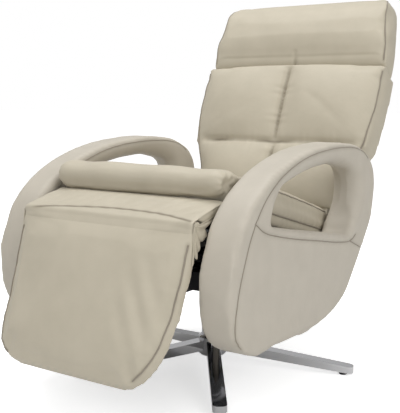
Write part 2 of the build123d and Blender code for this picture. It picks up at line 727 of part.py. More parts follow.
def legrest_link():
    rear = crank_pin_place()
    front = lever_pin_place()
    bar = polygon([(rear[0], rear[1] - LINK_HALF_HEIGHT), (rear[0], rear[1] + LINK_HALF_HEIGHT),
                   (front[0], front[1] + LINK_HALF_HEIGHT), (front[0], front[1] - LINK_HALF_HEIGHT)])
    face = bar + disc(rear, CRANK_EYE) + disc(front, CRANK_EYE)
    face = face - disc(rear, LINK_PIN + FIT) - disc(front, LINK_PIN + LINK_END_PLAY)
    return side_plate(face, LINK_X, PLATE)


def drive_bracket():
    """Hanger on a seat rail with the bore for a torque tube journal."""
    axis = (TORQUE_Y, TORQUE_Z)
    rake = radians(SEAT_RAKE)
    along = (TORQUE_Y - SEAT_Y) * cos(rake) - (TORQUE_Z - SEAT_Z) * sin(rake)
    hanger = [place_of(SEAT, (along - 2 * JOURNAL, RAIL_BOTTOM - JOURNAL)),
              place_of(SEAT, (along + 2 * JOURNAL, RAIL_BOTTOM - JOURNAL)),
              place_of(SEAT, (along + 3 * JOURNAL, RAIL_TOP - SIDE_GAP)),
              place_of(SEAT, (along - 3 * JOURNAL, RAIL_TOP - SIDE_GAP))]
    face = polygon(hanger) + disc(axis, 2 * JOURNAL)
    return side_plate(face - disc(axis, JOURNAL + FIT), BRACKET_X, PLATE)


def gear_motor(axis, bore, foot):
    """Gear case round a shaft, on a foot given by its side-view corners."""
    half = MOTOR_CASE_LENGTH / 2
    face = disc(axis, MOTOR_CASE) + polygon(foot)
    return side_plate(face - disc(axis, bore), -half, 2 * half)


def motor_can(centre):
    """Round motor on the left face of a gear case."""
    start = MOTOR_CASE_LENGTH / 2
    return cross_pin(centre, MOTOR_CAN, start, start + MOTOR_CAN_LENGTH)


def legrest_motor():
    axis = (TORQUE_Y, TORQUE_Z)
    front = TORQUE_Y - MOTOR_CASE
    rear = TORQUE_Y + MOTOR_CASE
    foot = [(front, CHASSIS_TOP), (rear, CHASSIS_TOP), (rear, TORQUE_Z), (front, TORQUE_Z)]
    motor = gear_motor(axis, TORQUE_TUBE + SOFT_GAP, foot)
    rail_reach = CHASSIS_RAIL_X + CHASSIS_RAIL_WIDTH / 2
    sole_top = CHASSIS_TOP + MOTOR_FOOT
    sole = [(front, CHASSIS_TOP), (rear, CHASSIS_TOP), (rear, sole_top), (front, sole_top)]
    motor += side_plate(polygon(sole), -rail_reach, 2 * rail_reach)
    can_place = (TORQUE_Y, sole_top + MOTOR_CAN + SIDE_GAP)
    return motor + motor_can(can_place)


# Back

def recline_bracket():
    """Plate on a seat rail that stands up behind the cushion to the recline shaft."""
    shaft = (BACK_Y, BACK_Z)
    start = SEAT_LENGTH - EYE_RADIUS
    foot = [place_of(SEAT, (start, RAIL_BOTTOM)), place_of(SEAT, (SEAT_RAIL_END, RAIL_BOTTOM)),
            (BACK_Y + HINGE_EYE, BACK_Z), (BACK_Y - HINGE_EYE, BACK_Z),
            place_of(SEAT, (SEAT_LENGTH + EYE_RADIUS, RAIL_TOP)), place_of(SEAT, (start, RAIL_TOP))]
    face = polygon(foot) + disc(shaft, HINGE_EYE)
    return side_plate(face - disc(shaft, SHAFT_RADIUS + FIT), BRACKET_X, PLATE)


def back_motor():
    shaft = (BACK_Y, BACK_Z)
    tube_top = (RAIL_TOP + RAIL_BOTTOM + SEAT_REAR_TUBE) / 2
    half = SEAT_REAR_TUBE / 2
    foot = [place_of(SEAT, (SEAT_REAR_TUBE_AT - half, tube_top)),
            place_of(SEAT, (SEAT_REAR_TUBE_AT + half, tube_top)),
            (BACK_Y + MOTOR_CASE / 2, BACK_Z), (BACK_Y - MOTOR_CASE, BACK_Z)]
    motor = gear_motor(shaft, SHAFT_RADIUS + SOFT_GAP, foot)
    can_place = (BACK_Y - SHAFT_RADIUS - MOTOR_CAN - SIDE_GAP, BACK_Z - SHAFT_RADIUS)
    return motor + motor_can(can_place)


def back_outline(inset, bottom, top):
    """Front view of the back between two heights, drawn in at the sides by inset."""
    right = [(half - inset, height) for height, half in BACK_WIDTHS]
    right[0] = (right[0][0], min(bottom, right[0][1]))
    left = [(-x, height) for x, height in reversed(right)]
    face = make_face([Spline(*right), Line(right[-1], left[0]),
                      Spline(*left), Line(left[-1], right[0])])
    return face & Pos(0, (bottom + top) / 2) * Rectangle(4 * HEAD_HALF_WIDTH, top - bottom)


def cushion_section(height, half, side, seam, crown):
    """Section across the back at one height: a swell each side of the middle seam."""
    back = CUSHION_BACK + SOFT_GAP
    edges = [
        Line((-half, back), (half, back)), Line((half, back), (half, side)),
        ThreePointArc((half, side), (half / 2, crown), (0, seam)),
        ThreePointArc((0, seam), (-half / 2, crown), (-half, side)),
        Line((-half, side), (-half, back)),
    ]
    return Plane((0, 0, height), x_dir=(1, 0, 0), z_dir=(0, 0, -1)) * make_face(edges)


def back_cushion():
    """Four sewn fields: two swelling rows that meet at the cross seam."""
    at_seam = (BACK_FRONT_SIDE, BACK_FRONT_SEAM, BACK_FRONT_SEAM + BACK_SWELL)
    at_crown = (BACK_FRONT_SIDE + BACK_SWELL, BACK_FRONT_SEAM + BACK_SWELL, BACK_FRONT_CROWN)
    rows = []
    for low, middle, high in (BACK_WIDTHS[0:3], BACK_WIDTHS[2:5]):
        rows.append(loft([cushion_section(*low, *at_seam), cushion_section(*middle, *at_crown),
                          cushion_section(*high, *at_seam)]))
    cushion = rows[0] + rows[1]
    hollow = cross_pin((-HEAD_N, HEAD_U), HEAD_SWEEP + SOFT_GAP,
                       -2 * HEAD_HALF_WIDTH, 2 * HEAD_HALF_WIDTH)
    return BACK * (cushion - hollow)


def hinge_tang_slots(clearance):
    """Slots in the back board for the hinge plates and the headrest ears."""
    front = -CUSHION_BACK
    near = front - BACK_BOARD
    far = front + 2 * BACK_BOARD
    slots = []
    for inner_x, low, high in ((LEVER_X, 0, HINGE_TANG_END), (EAR_X, EAR_TANG_START, HEAD_U)):
        face = polygon(((near, low - clearance), (far, low - clearance),
                        (far, high + clearance), (near, high + clearance)))
        slots += both_sides(side_plate(face, inner_x - clearance, PLATE + 2 * clearance))
    return slots


def back_board():
    outline = back_outline(BACK_BOARD_INSET, BACK_BOARD_START, BACK_BOARD_TOP)
    board = extrude(Plane.XZ.offset(CUSHION_BACK) * outline, amount=-BACK_BOARD)
    for slot in hinge_tang_slots(FIT):
        board = board - slot
    return BACK * board


def back_cover():
    """Padded leather cover behind the board, drawn in towards its rear face."""
    front = Plane.XZ.offset(CUSHION_BACK - BACK_BOARD)
    rim = back_outline(BACK_COVER_INSET, BACK_BOARD_START, BACK_BOARD_TOP)
    rear = back_outline(BACK_COVER_INSET + BACK_COVER, BACK_BOARD_START + BACK_COVER,
                        BACK_BOARD_TOP - BACK_COVER)
    return BACK * loft([front * rim, front.offset(-BACK_COVER) * rear])


def back_hinge_plate():
    front = -CUSHION_BACK
    back = front + BACK_BOARD
    under_cushion = BACK_START - SIDE_GAP
    neck = [(0, HINGE_EYE), (0, -HINGE_EYE), (back, 0), (back, HINGE_TANG_END),
            (front, HINGE_TANG_END), (front, under_cushion), (HINGE_EYE / 2, under_cushion)]
    face = polygon(neck) + Circle(HINGE_EYE) - Circle(SHAFT_RADIUS + FIT)
    return BACK * side_plate(face, LEVER_X, PLATE)


def recline_shaft():
    end = BRACKET_X + PLATE - FIT
    return cross_pin((BACK_Y, BACK_Z), SHAFT_RADIUS, -end, end)


# Headrest

def headrest_ear():
    """Plate in a slot of the back board that carries the headrest hinge pin."""
    front = -CUSHION_BACK
    back = front + BACK_BOARD
    neck = [(front, EAR_TANG_START), (back, EAR_TANG_START), (back, BACK_BOARD_TOP),
            (-HEAD_N + HEAD_EYE, HEAD_U), (-HEAD_N - HEAD_EYE, HEAD_U),
            (front, HEAD_U - HEAD_SWEEP + 2 * SIDE_GAP)]
    hinge = (-HEAD_N, HEAD_U)
    face = polygon(neck) + disc(hinge, HEAD_EYE) - disc(hinge, HEAD_PIN + FIT)
    return BACK * side_plate(face, EAR_X, PLATE)


def headrest_arm():
    """Plate in a slot of the headrest board with the eye for the hinge pin."""
    hinge = (-HEAD_N, HEAD_U)
    half = HEAD_BOARD / 2
    tang_top = (HEAD_BOARD_START + HEAD_BOARD_TOP) / 2
    face = polygon([(-HEAD_N - half, HEAD_U), (-HEAD_N + half, HEAD_U), (-HEAD_N + half, tang_top),
                    (-HEAD_N - half, tang_top)])
    face = face + disc(hinge, HEAD_EYE) - disc(hinge, HEAD_PIN + FIT)
    return BACK * side_plate(face, HEAD_ARM_X, PLATE)


def headrest_pin():
    hinge = (-HEAD_N, HEAD_U)
    inner = HEAD_ARM_X - SIDE_GAP
    pin = cross_pin(hinge, HEAD_PIN, inner, EAR_X + PLATE + SIDE_GAP)
    head = cross_pin(hinge, LINK_HEAD, inner - LINK_HEAD_THICKNESS, inner)
    return BACK * (pin + head)


def headrest_board():
    middle = (HEAD_BOARD_START + HEAD_BOARD_TOP) / 2
    height = HEAD_BOARD_TOP - HEAD_BOARD_START
    outline = Pos(0, middle) * RectangleRounded(2 * HEAD_BOARD_HALF, height, HEAD_LOW_CORNER)
    board = extrude(Plane.XZ.offset(HEAD_N + HEAD_BOARD / 2) * outline, amount=-HEAD_BOARD)
    slot = slab((PLATE + 2 * FIT, 2 * HEAD_BOARD, HEAD_BOARD_TOP),
                (HEAD_ARM_X + PLATE / 2, -HEAD_N, middle - HEAD_BOARD_TOP / 2))
    for side_slot in both_sides(slot):
        board = board - side_slot
    return BACK * board


def headrest_pocket():
    """Room inside the pad for the board, its arms, and the ears as the headrest tilts."""
    middle = (HEAD_BOARD_START + HEAD_BOARD_TOP) / 2
    thickness = HEAD_BOARD + 2 * SOFT_GAP
    height = HEAD_BOARD_TOP - HEAD_BOARD_START + 2 * SOFT_GAP
    board = slab((2 * HEAD_BOARD_HALF + 2 * SOFT_GAP, thickness, height), (0, -HEAD_N, middle))
    hinge_y = -HEAD_N
    eye = HEAD_EYE + 2 * SIDE_GAP
    reach = 1.5 * HEAD_SWEEP
    front = hinge_y - reach * tan(radians(HEAD_SWING_FRONT))
    back = hinge_y + reach * tan(radians(HEAD_SWING_BACK))
    fan = polygon([(hinge_y - eye, HEAD_U), (front, HEAD_U - reach),
                   (back, HEAD_U - reach), (hinge_y + eye, HEAD_U)])
    fan += disc((hinge_y, HEAD_U), eye)
    arm_room = Rectangle(thickness, HEAD_BOARD_START - HEAD_U + 2 * SIDE_GAP)
    fan += Pos(hinge_y, (HEAD_U + HEAD_BOARD_START) / 2) * arm_room
    inner_x = HEAD_ARM_X - LINK_HEAD_THICKNESS - 2 * SIDE_GAP
    outer_x = EAR_X + PLATE + 2 * SIDE_GAP
    return [board] + both_sides(side_plate(fan, inner_x, outer_x - inner_x))


def headrest_pad():
    """Pad with a rolled bottom about the hinge, a forward lean and a big round over the top."""
    front = -HEAD_FRONT
    back = -HEAD_BACK
    hinge_y = -HEAD_N
    drop = sqrt(HEAD_SWEEP ** 2 - (back - hinge_y) ** 2)
    front_drop = sqrt(HEAD_SWEEP ** 2 - (front - hinge_y) ** 2)
    shoulder = (front - HEAD_LEAN, HEAD_TOP - HEAD_TOP_ROUND)
    apex = (back - HEAD_REAR_ROUND, HEAD_TOP)
    slant = 1 - sin(radians(45))
    over = (shoulder[0] + (apex[0] - shoulder[0]) * slant, HEAD_TOP - HEAD_TOP_ROUND * slant)
    rear = (back - HEAD_REAR_ROUND * slant, HEAD_TOP - HEAD_REAR_ROUND * slant)
    side = make_face([
        ThreePointArc((front, HEAD_U - front_drop), (hinge_y, HEAD_U - HEAD_SWEEP),
                      (back, HEAD_U - drop)),
        Line((back, HEAD_U - drop), (back, HEAD_TOP - HEAD_REAR_ROUND)),
        ThreePointArc((back, HEAD_TOP - HEAD_REAR_ROUND), rear, apex),
        ThreePointArc(apex, over, shoulder),
        ThreePointArc(shoulder, (front - HEAD_CROWN, (shoulder[1] + HEAD_U) / 2),
                      (front, HEAD_U - front_drop)),
    ])
    half = HEAD_HALF_WIDTH
    low = HEAD_U - HEAD_SWEEP - HEAD_MARGIN
    high = HEAD_TOP + HEAD_MARGIN
    outline = Pos(0, (high + low) / 2) * Rectangle(2 * half, high - low)
    outline = fillet(outline.vertices().group_by(Axis.Y)[-1], HEAD_CORNER)
    outline = fillet(outline.vertices().group_by(Axis.Y)[0], HEAD_LOW_CORNER)
    edge = front - HEAD_CROWN + HEAD_SIDE_DROP
    wide = half + HEAD_MARGIN
    behind = back + HEAD_MARGIN
    across = make_face([
        ThreePointArc((-wide, edge), (0, front - HEAD_CROWN - SOFT_GAP), (wide, edge)),
        Line((wide, edge), (wide, behind)),
        Line((wide, behind), (-wide, behind)),
        Line((-wide, behind), (-wide, edge)),
    ])
    pad = side_plate(side, -half, 2 * half)
    pad = pad & extrude(Plane.XZ * outline, amount=4 * HEAD_FRONT, both=True)
    pad = pad & extrude(Plane.XY * across, amount=2 * HEAD_TOP, both=True)
    for room in headrest_pocket():
        pad = pad - room
    return BACK * pad


def make_legrest():
    save("legrest_pad", legrest_pad())
    save("legrest_board", legrest_board())
    save("legrest_flap", legrest_flap())
    for side, leaf in zip(("left", "right"), both_sides(legrest_leaf())):
        save(f"legrest_leaf_{side}", leaf)
    for side, link in zip(("left", "right"), both_sides(legrest_link())):
        save(f"legrest_link_{side}", link)
    save("legrest_pivot_pins", both_sides(legrest_pivot_pin()))
    save("legrest_supports", both_sides(legrest_support()))
    save("drive_brackets", both_sides(drive_bracket()))
    save("torque_tube", torque_tube())
    save("legrest_motor", legrest_motor())


def make_back():
    save("recline_brackets", both_sides(recline_bracket()))
    save("recline_shaft", recline_shaft())
    save("back_motor", back_motor())
    save("back_board", back_board())
    save("back_cushion", back_cushion())
    save("back_cover", back_cover())
    for side, plate in zip(("left", "right"), both_sides(back_hinge_plate())):
        save(f"back_hinge_plate_{side}", plate)
    save("headrest_ears", both_sides(headrest_ear()))


def make_headrest():
    save("headrest_pad", headrest_pad())
    save("headrest_board", headrest_board())
    save("headrest_arms", both_sides(headrest_arm()))
    save("headrest_pins", both_sides(headrest_pin()))


os.makedirs("parts", exist_ok=True)
make_base()
make_chassis()
make_arms()
make_legrest()
make_back()
make_headrest()
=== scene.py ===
import json
from math import cos, pi, radians, sin

import bpy
import numpy as np
from mathutils import Matrix, Vector
from mathutils.bvhtree import BVHTree


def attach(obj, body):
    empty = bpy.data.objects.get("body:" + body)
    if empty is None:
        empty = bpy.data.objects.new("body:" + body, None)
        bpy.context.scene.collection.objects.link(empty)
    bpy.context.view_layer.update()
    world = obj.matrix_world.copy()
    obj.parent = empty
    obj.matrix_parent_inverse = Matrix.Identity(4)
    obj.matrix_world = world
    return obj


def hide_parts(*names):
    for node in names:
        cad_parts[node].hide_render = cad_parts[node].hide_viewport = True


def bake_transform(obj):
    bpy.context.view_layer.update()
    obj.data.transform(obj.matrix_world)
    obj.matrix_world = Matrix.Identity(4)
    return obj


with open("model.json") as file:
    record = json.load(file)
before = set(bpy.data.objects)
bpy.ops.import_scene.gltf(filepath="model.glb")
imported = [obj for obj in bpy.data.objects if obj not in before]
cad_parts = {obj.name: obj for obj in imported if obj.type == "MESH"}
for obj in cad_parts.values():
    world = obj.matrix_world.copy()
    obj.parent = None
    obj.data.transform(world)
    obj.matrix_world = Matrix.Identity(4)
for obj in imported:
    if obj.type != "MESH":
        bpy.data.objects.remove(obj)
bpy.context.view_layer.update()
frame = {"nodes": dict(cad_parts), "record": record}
nodes = frame["nodes"]
scene = bpy.context.scene

# Frames of the raked pieces, as in the part's source: X across, Y back, Z up along the piece
SEAT = Matrix.Translation((0, -0.330, 0.497)) @ Matrix.Rotation(radians(-15.5), 4, "X")
LEGREST_HINGE = Vector((0, -0.452, 0.466))
LEGREST = Matrix.Translation(LEGREST_HINGE) @ Matrix.Rotation(radians(-19.5), 4, "X")
FLAP = Matrix.Translation(LEGREST_HINGE) @ Matrix.Rotation(radians(14.8), 4, "X")
BACK = Matrix.Translation((0, 0.300, 0.370)) @ Matrix.Rotation(radians(-24), 4, "X")
HEAD_HINGE = (0.024, 0.565)      # along Y and Z of the back's frame
HEAD_SWEEP = 0.068               # radius that the headrest's foot turns in
ARM_INNER_X = 0.267
ARM_OUTER_X = 0.360


# Camera, light and floor

def add_camera():
    data = bpy.data.cameras.new("camera")
    data.lens = 69.95
    camera = bpy.data.objects.new("camera", data)
    camera.location = (1.237, -1.884, 0.767)
    camera.rotation_euler = (radians(82.12), 0, radians(34.2))
    scene.collection.objects.link(camera)
    scene.camera = camera


def add_area_light(name, place, target, size, power):
    data = bpy.data.lights.new(name, "AREA")
    data.shape = "DISK"
    data.size = size
    data.energy = power
    lamp = bpy.data.objects.new(name, data)
    lamp.location = place
    aim = Vector(target) - Vector(place)
    lamp.rotation_euler = aim.to_track_quat("-Z", "Y").to_euler()
    scene.collection.objects.link(lamp)


def linear(hex_colour):
    """sRGB hex to the linear colour that Blender's sockets take."""
    channels = [int(hex_colour[i:i + 2], 16) / 255 for i in (1, 3, 5)]
    return [c / 12.92 if c <= 0.04045 else ((c + 0.055) / 1.055) ** 2.4 for c in channels] + [1.0]


def add_node(tree, kind, settings=None, **links):
    """A shader node with its plain settings, socket values and incoming links."""
    node = tree.nodes.new(kind)
    for key, value in (settings or {}).items():
        if hasattr(node, key):
            setattr(node, key, value)
        else:
            node.inputs[key].default_value = value
    for key, source in links.items():
        tree.links.new(source, node.inputs[key.replace("_", " ")])
    return node


def new_material(name):
    material = bpy.data.materials.new(name)
    material.use_nodes = True
    tree = material.node_tree
    tree.nodes.clear()
    return material, tree


def add_world():
    """White to the camera; for light and reflections a dim room under a bright ceiling."""
    world = bpy.data.worlds.new("studio")
    world.use_nodes = True
    scene.world = world
    tree = world.node_tree
    tree.nodes.clear()
    path = add_node(tree, "ShaderNodeLightPath")
    place = add_node(tree, "ShaderNodeTexCoord")
    split = add_node(tree, "ShaderNodeSeparateXYZ", Vector=place.outputs["Generated"])
    ramp = add_node(tree, "ShaderNodeValToRGB", Fac=split.outputs["Z"])
    ramp.color_ramp.elements[0].position = 0.0
    ramp.color_ramp.elements[0].color = (0.38, 0.38, 0.38, 1)
    ramp.color_ramp.elements[1].position = 0.55
    ramp.color_ramp.elements[1].color = (0.95, 0.95, 0.95, 1)
    room = add_node(tree, "ShaderNodeBackground", {"Strength": 0.62}, Color=ramp.outputs["Color"])
    white = add_node(tree, "ShaderNodeBackground", {"Color": (1, 1, 1, 1), "Strength": 1.0})
    mix = add_node(tree, "ShaderNodeMixShader", Fac=path.outputs["Is Camera Ray"])
    tree.links.new(room.outputs[0], mix.inputs[1])
    tree.links.new(white.outputs[0], mix.inputs[2])
    add_node(tree, "ShaderNodeOutputWorld", Surface=mix.outputs[0])


def add_floor():
    """Pale floor that reads as white and keeps a soft shadow under the chair."""
    material, tree = new_material("pale_floor")
    matte = add_node(tree, "ShaderNodeBsdfDiffuse", {"Color": (0.86, 0.86, 0.86, 1)})
    glow = add_node(tree, "ShaderNodeEmission", {"Color": (1, 1, 1, 1), "Strength": 0.62})
    both = add_node(tree, "ShaderNodeAddShader")
    path = add_node(tree, "ShaderNodeLightPath")
    tree.links.new(matte.outputs[0], both.inputs[0])
    tree.links.new(glow.outputs[0], both.inputs[1])
    mix = add_node(tree, "ShaderNodeMixShader", Fac=path.outputs["Is Camera Ray"])
    tree.links.new(matte.outputs[0], mix.inputs[1])
    tree.links.new(both.outputs[0], mix.inputs[2])
    add_node(tree, "ShaderNodeOutputMaterial", Surface=mix.outputs[0])
    reach = 30.0
    mesh = bpy.data.meshes.new("floor")
    mesh.from_pydata([(-reach, -reach, 0), (reach, -reach, 0), (reach, reach, 0), (-reach, reach, 0)],
                     [], [(0, 1, 2, 3)])
    mesh.materials.append(material)
    floor = bpy.data.objects.new("floor", mesh)
    scene.collection.objects.link(floor)


# Materials

def leather(name, shade):
    """Pale greige leather: fine pebbled grain, faint blotches, satin gloss, and painted shade in the seams
    and folds.
    """
    material, tree = new_material(name)
    place = add_node(tree, "ShaderNodeTexCoord").outputs["Object"]
    blotch = add_node(tree, "ShaderNodeTexNoise", {"Scale": 1 / 0.06, "Detail": 3.0}, Vector=place)
    tone = add_node(tree, "ShaderNodeValToRGB", Fac=blotch.outputs["Fac"])
    tone.color_ramp.elements[0].position = 0.3
    tone.color_ramp.elements[0].color = linear(shade[0])
    tone.color_ramp.elements[1].position = 0.7
    tone.color_ramp.elements[1].color = linear(shade[1])
    # The attribute read here darkens the colour towards #8F8779: painted shade in seams and fold troughs.
    painted_crease_shade = add_node(tree, "ShaderNodeAttribute", {"attribute_name": "painted_crease_shade"})
    colour = add_node(tree, "ShaderNodeMix", {"data_type": "RGBA", "blend_type": "MULTIPLY"})
    tree.links.new(painted_crease_shade.outputs["Fac"], colour.inputs["Factor"])
    tree.links.new(tone.outputs["Color"], colour.inputs["A"])
    colour.inputs["B"].default_value = linear("#8F8779")
    grain = add_node(tree, "ShaderNodeTexVoronoi", {"Scale": 1 / 0.0016, "feature": "SMOOTH_F1"},
                     Vector=place)
    soft = add_node(tree, "ShaderNodeTexNoise", {"Scale": 1 / 0.012, "Detail": 4.0}, Vector=place)
    polish = add_node(tree, "ShaderNodeMapRange", {"To Min": 0.47, "To Max": 0.62},
                      Value=soft.outputs["Fac"])
    pebbles = add_node(tree, "ShaderNodeBump", {"Strength": 0.22, "Distance": 0.0004},
                       Height=grain.outputs["Distance"])
    relief = add_node(tree, "ShaderNodeBump", {"Strength": 0.18, "Distance": 0.0012},
                      Height=soft.outputs["Fac"], Normal=pebbles.outputs["Normal"])
    skin = add_node(tree, "ShaderNodeBsdfPrincipled",
                    {"Specular IOR Level": 0.38, "Sheen Weight": 0.06, "Sheen Roughness": 0.5},
                    Base_Color=colour.outputs["Result"], Roughness=polish.outputs["Result"],
                    Normal=relief.outputs["Normal"])
    add_node(tree, "ShaderNodeOutputMaterial", Surface=skin.outputs[0])
    return material


def metal(name, colour, roughness, brushed):
    """Bare or plated metal with fine drawn lines that vary its gloss."""
    material, tree = new_material(name)
    place = add_node(tree, "ShaderNodeTexCoord").outputs["Object"]
    stretch = add_node(tree, "ShaderNodeMapping", {"Scale": (40, 400, 900)}, Vector=place)
    lines = add_node(tree, "ShaderNodeTexNoise", {"Scale": 1.0, "Detail": 3.0},
                     Vector=stretch.outputs["Vector"])
    gloss = add_node(tree, "ShaderNodeMapRange", {"To Min": roughness, "To Max": roughness + brushed},
                     Value=lines.outputs["Fac"])
    surface = add_node(tree, "ShaderNodeBsdfPrincipled", {"Metallic": 1.0, "Base Color": linear(colour)},
                       Roughness=gloss.outputs["Result"])
    add_node(tree, "ShaderNodeOutputMaterial", Surface=surface.outputs[0])
    return material


def coated(name, colour, roughness, grain_size, bump):
    """Paint, moulded plastic or padding: one colour with a fine textured finish."""
    material, tree = new_material(name)
    place = add_node(tree, "ShaderNodeTexCoord").outputs["Object"]
    grain = add_node(tree, "ShaderNodeTexNoise", {"Scale": 1 / grain_size, "Detail": 2.0}, Vector=place)
    gloss = add_node(tree, "ShaderNodeMapRange",
                     {"To Min": roughness - 0.06, "To Max": roughness + 0.08},
                     Value=grain.outputs["Fac"])
    relief = add_node(tree, "ShaderNodeBump", {"Strength": bump, "Distance": 0.0003},
                      Height=grain.outputs["Fac"])
    surface = add_node(tree, "ShaderNodeBsdfPrincipled", {"Base Color": linear(colour)},
                       Roughness=gloss.outputs["Result"], Normal=relief.outputs["Normal"])
    add_node(tree, "ShaderNodeOutputMaterial", Surface=surface.outputs[0])
    return material


def plywood(name):
    """Pale wood with long grain across the chair."""
    material, tree = new_material(name)
    place = add_node(tree, "ShaderNodeTexCoord").outputs["Object"]
    stretch = add_node(tree, "ShaderNodeMapping", {"Scale": (6, 90, 90)}, Vector=place)
    rings = add_node(tree, "ShaderNodeTexNoise", {"Scale": 1.0, "Detail": 6.0},
                     Vector=stretch.outputs["Vector"])
    tone = add_node(tree, "ShaderNodeValToRGB", Fac=rings.outputs["Fac"])
    tone.color_ramp.elements[0].color = linear("#A9824F")
    tone.color_ramp.elements[1].color = linear("#D4B584")
    relief = add_node(tree, "ShaderNodeBump", {"Strength": 0.2, "Distance": 0.0004},
                      Height=rings.outputs["Fac"])
    surface = add_node(tree, "ShaderNodeBsdfPrincipled", {"Roughness": 0.65},
                       Base_Color=tone.outputs["Color"], Normal=relief.outputs["Normal"])
    add_node(tree, "ShaderNodeOutputMaterial", Surface=surface.outputs[0])
    return material


def woven(name, colour, pitch):
    """Dark webbing or cloth with a visible weave, in threads of the given pitch."""
    material, tree = new_material(name)
    place = add_node(tree, "ShaderNodeTexCoord").outputs["Object"]
    warp = add_node(tree, "ShaderNodeTexWave", {"Scale": 1 / pitch, "bands_direction": "X"},
                    Vector=place)
    weft = add_node(tree, "ShaderNodeTexWave", {"Scale": 1 / pitch, "bands_direction": "Y"},
                    Vector=place)
    cloth = add_node(tree, "ShaderNodeMath", {"operation": "MAXIMUM"})
    tree.links.new(warp.outputs["Fac"], cloth.inputs[0])
    tree.links.new(weft.outputs["Fac"], cloth.inputs[1])
    relief = add_node(tree, "ShaderNodeBump", {"Strength": 0.5, "Distance": 0.0006},
                      Height=cloth.outputs["Value"])
    surface = add_node(tree, "ShaderNodeBsdfPrincipled",
                       {"Base Color": linear(colour), "Roughness": 0.85},
                       Normal=relief.outputs["Normal"])
    add_node(tree, "ShaderNodeOutputMaterial", Surface=surface.outputs[0])
    return material


GREIGE = leather("cushion_leather", ("#B1A997", "#B6AE9C"))
ARM_GREIGE = leather("arm_leather", ("#B0A99C", "#B5AEA1"))
# Welt cords are darker than the cover: painted shade of the seam line.
WELT_PAINTED_SHADE = leather("welt_leather_painted_shade", ("#857D70", "#8D8578"))
SLOT_MATERIALS = {
    "chrome": metal("polished_chrome", "#E4E4E6", 0.05, 0.05),
    "bright_steel": metal("drawn_steel", "#B9B9BC", 0.22, 0.16),
    "black_steel": coated("black_painted_steel", "#17171A", 0.42, 0.0007, 0.12),
    "black_plastic": coated("black_moulded_plastic", "#1B1B1D", 0.5, 0.0005, 0.2),
    "plywood": plywood("birch_plywood"),
    "arm_core": coated("padding_fleece", "#A89F8F", 0.85, 0.003, 0.3),
    "webbing": woven("black_webbing", "#1A1A1C", 0.004),
    "cushion_leather": GREIGE,
    "arm_leather": ARM_GREIGE,
    "dust_cloth": woven("black_dust_cloth", "#141416", 0.0012),
}


def finish_cad_nodes():
    slots = {part["node"]: part["material_slot"] for part in frame["record"]["subparts"]}
    for name, node in nodes.items():
        node.data.materials.clear()
        node.data.materials.append(SLOT_MATERIALS[slots[name]])


# Soft goods

def coords(mesh):
    flat = np.empty(3 * len(mesh.vertices))
    mesh.vertices.foreach_get("co", flat)
    return flat.reshape(-1, 3)


def normals(mesh):
    flat = np.empty(3 * len(mesh.vertices))
    mesh.vertices.foreach_get("normal", flat)
    return flat.reshape(-1, 3)


def set_coords(mesh, points):
    mesh.vertices.foreach_set("co", np.ascontiguousarray(points, dtype=np.float32).ravel())
    mesh.update()


def edge_pairs(mesh):
    flat = np.empty(2 * len(mesh.edges), dtype=np.int32)
    mesh.edges.foreach_get("vertices", flat)
    return flat.reshape(-1, 2)


def relax(values, pairs, steps):
    """Average each vertex's values with its neighbours', a number of times."""
    count = len(values)
    ends = np.concatenate((pairs[:, 0], pairs[:, 1]))
    others = np.concatenate((pairs[:, 1], pairs[:, 0]))
    valence = np.maximum(np.bincount(ends, minlength=count), 1)
    for _ in range(steps):
        near = np.stack([np.bincount(ends, weights=values[others, k], minlength=count) / valence
                         for k in range(values.shape[1])], axis=1)
        values = (values + near) / 2
    return values


def round_off(mesh, steps):
    """Round the edges over a width set by steps, and give thin parts their bulk back."""
    points = coords(mesh)
    pairs = edge_pairs(mesh)
    smooth = relax(points, pairs, steps)
    set_coords(mesh, smooth + relax(points - smooth, pairs, steps))


def soft_copy(name, sources, voxel, steps):
    """One closed mesh of small even quads round the joined CAD solids."""
    vertices = []
    faces = []
    for source in sources:
        mesh = nodes[source].data
        start = len(vertices)
        vertices += [tuple(vertex.co) for vertex in mesh.vertices]
        faces += [[start + index for index in polygon.vertices] for polygon in mesh.polygons]
    rough = bpy.data.meshes.new(name + "_rough")
    rough.from_pydata(vertices, [], faces)
    piece = bpy.data.objects.new(name, rough)
    scene.collection.objects.link(piece)
    weld = piece.modifiers.new("weld", "WELD")
    weld.merge_threshold = 0.00002
    remesh = piece.modifiers.new("remesh", "REMESH")
    remesh.mode = "VOXEL"
    remesh.voxel_size = voxel
    graph = bpy.context.evaluated_depsgraph_get()
    even = bpy.data.meshes.new_from_object(piece.evaluated_get(graph))
    piece.modifiers.clear()
    piece.data = even
    bpy.data.meshes.remove(rough)
    even.name = name
    even.polygons.foreach_set("use_smooth", [True] * len(even.polygons))
    round_off(even, steps)
    return piece


def in_frame(points, matrix):
    """Points of the shared frame in the frame of a raked piece."""
    turned = np.array(matrix.inverted())
    return points @ turned[:3, :3].T + turned[:3, 3]


def out_of_frame(points, matrix):
    place = np.array(matrix)
    return points @ place[:3, :3].T + place[:3, 3]


CLOTH_FRAMES = 20


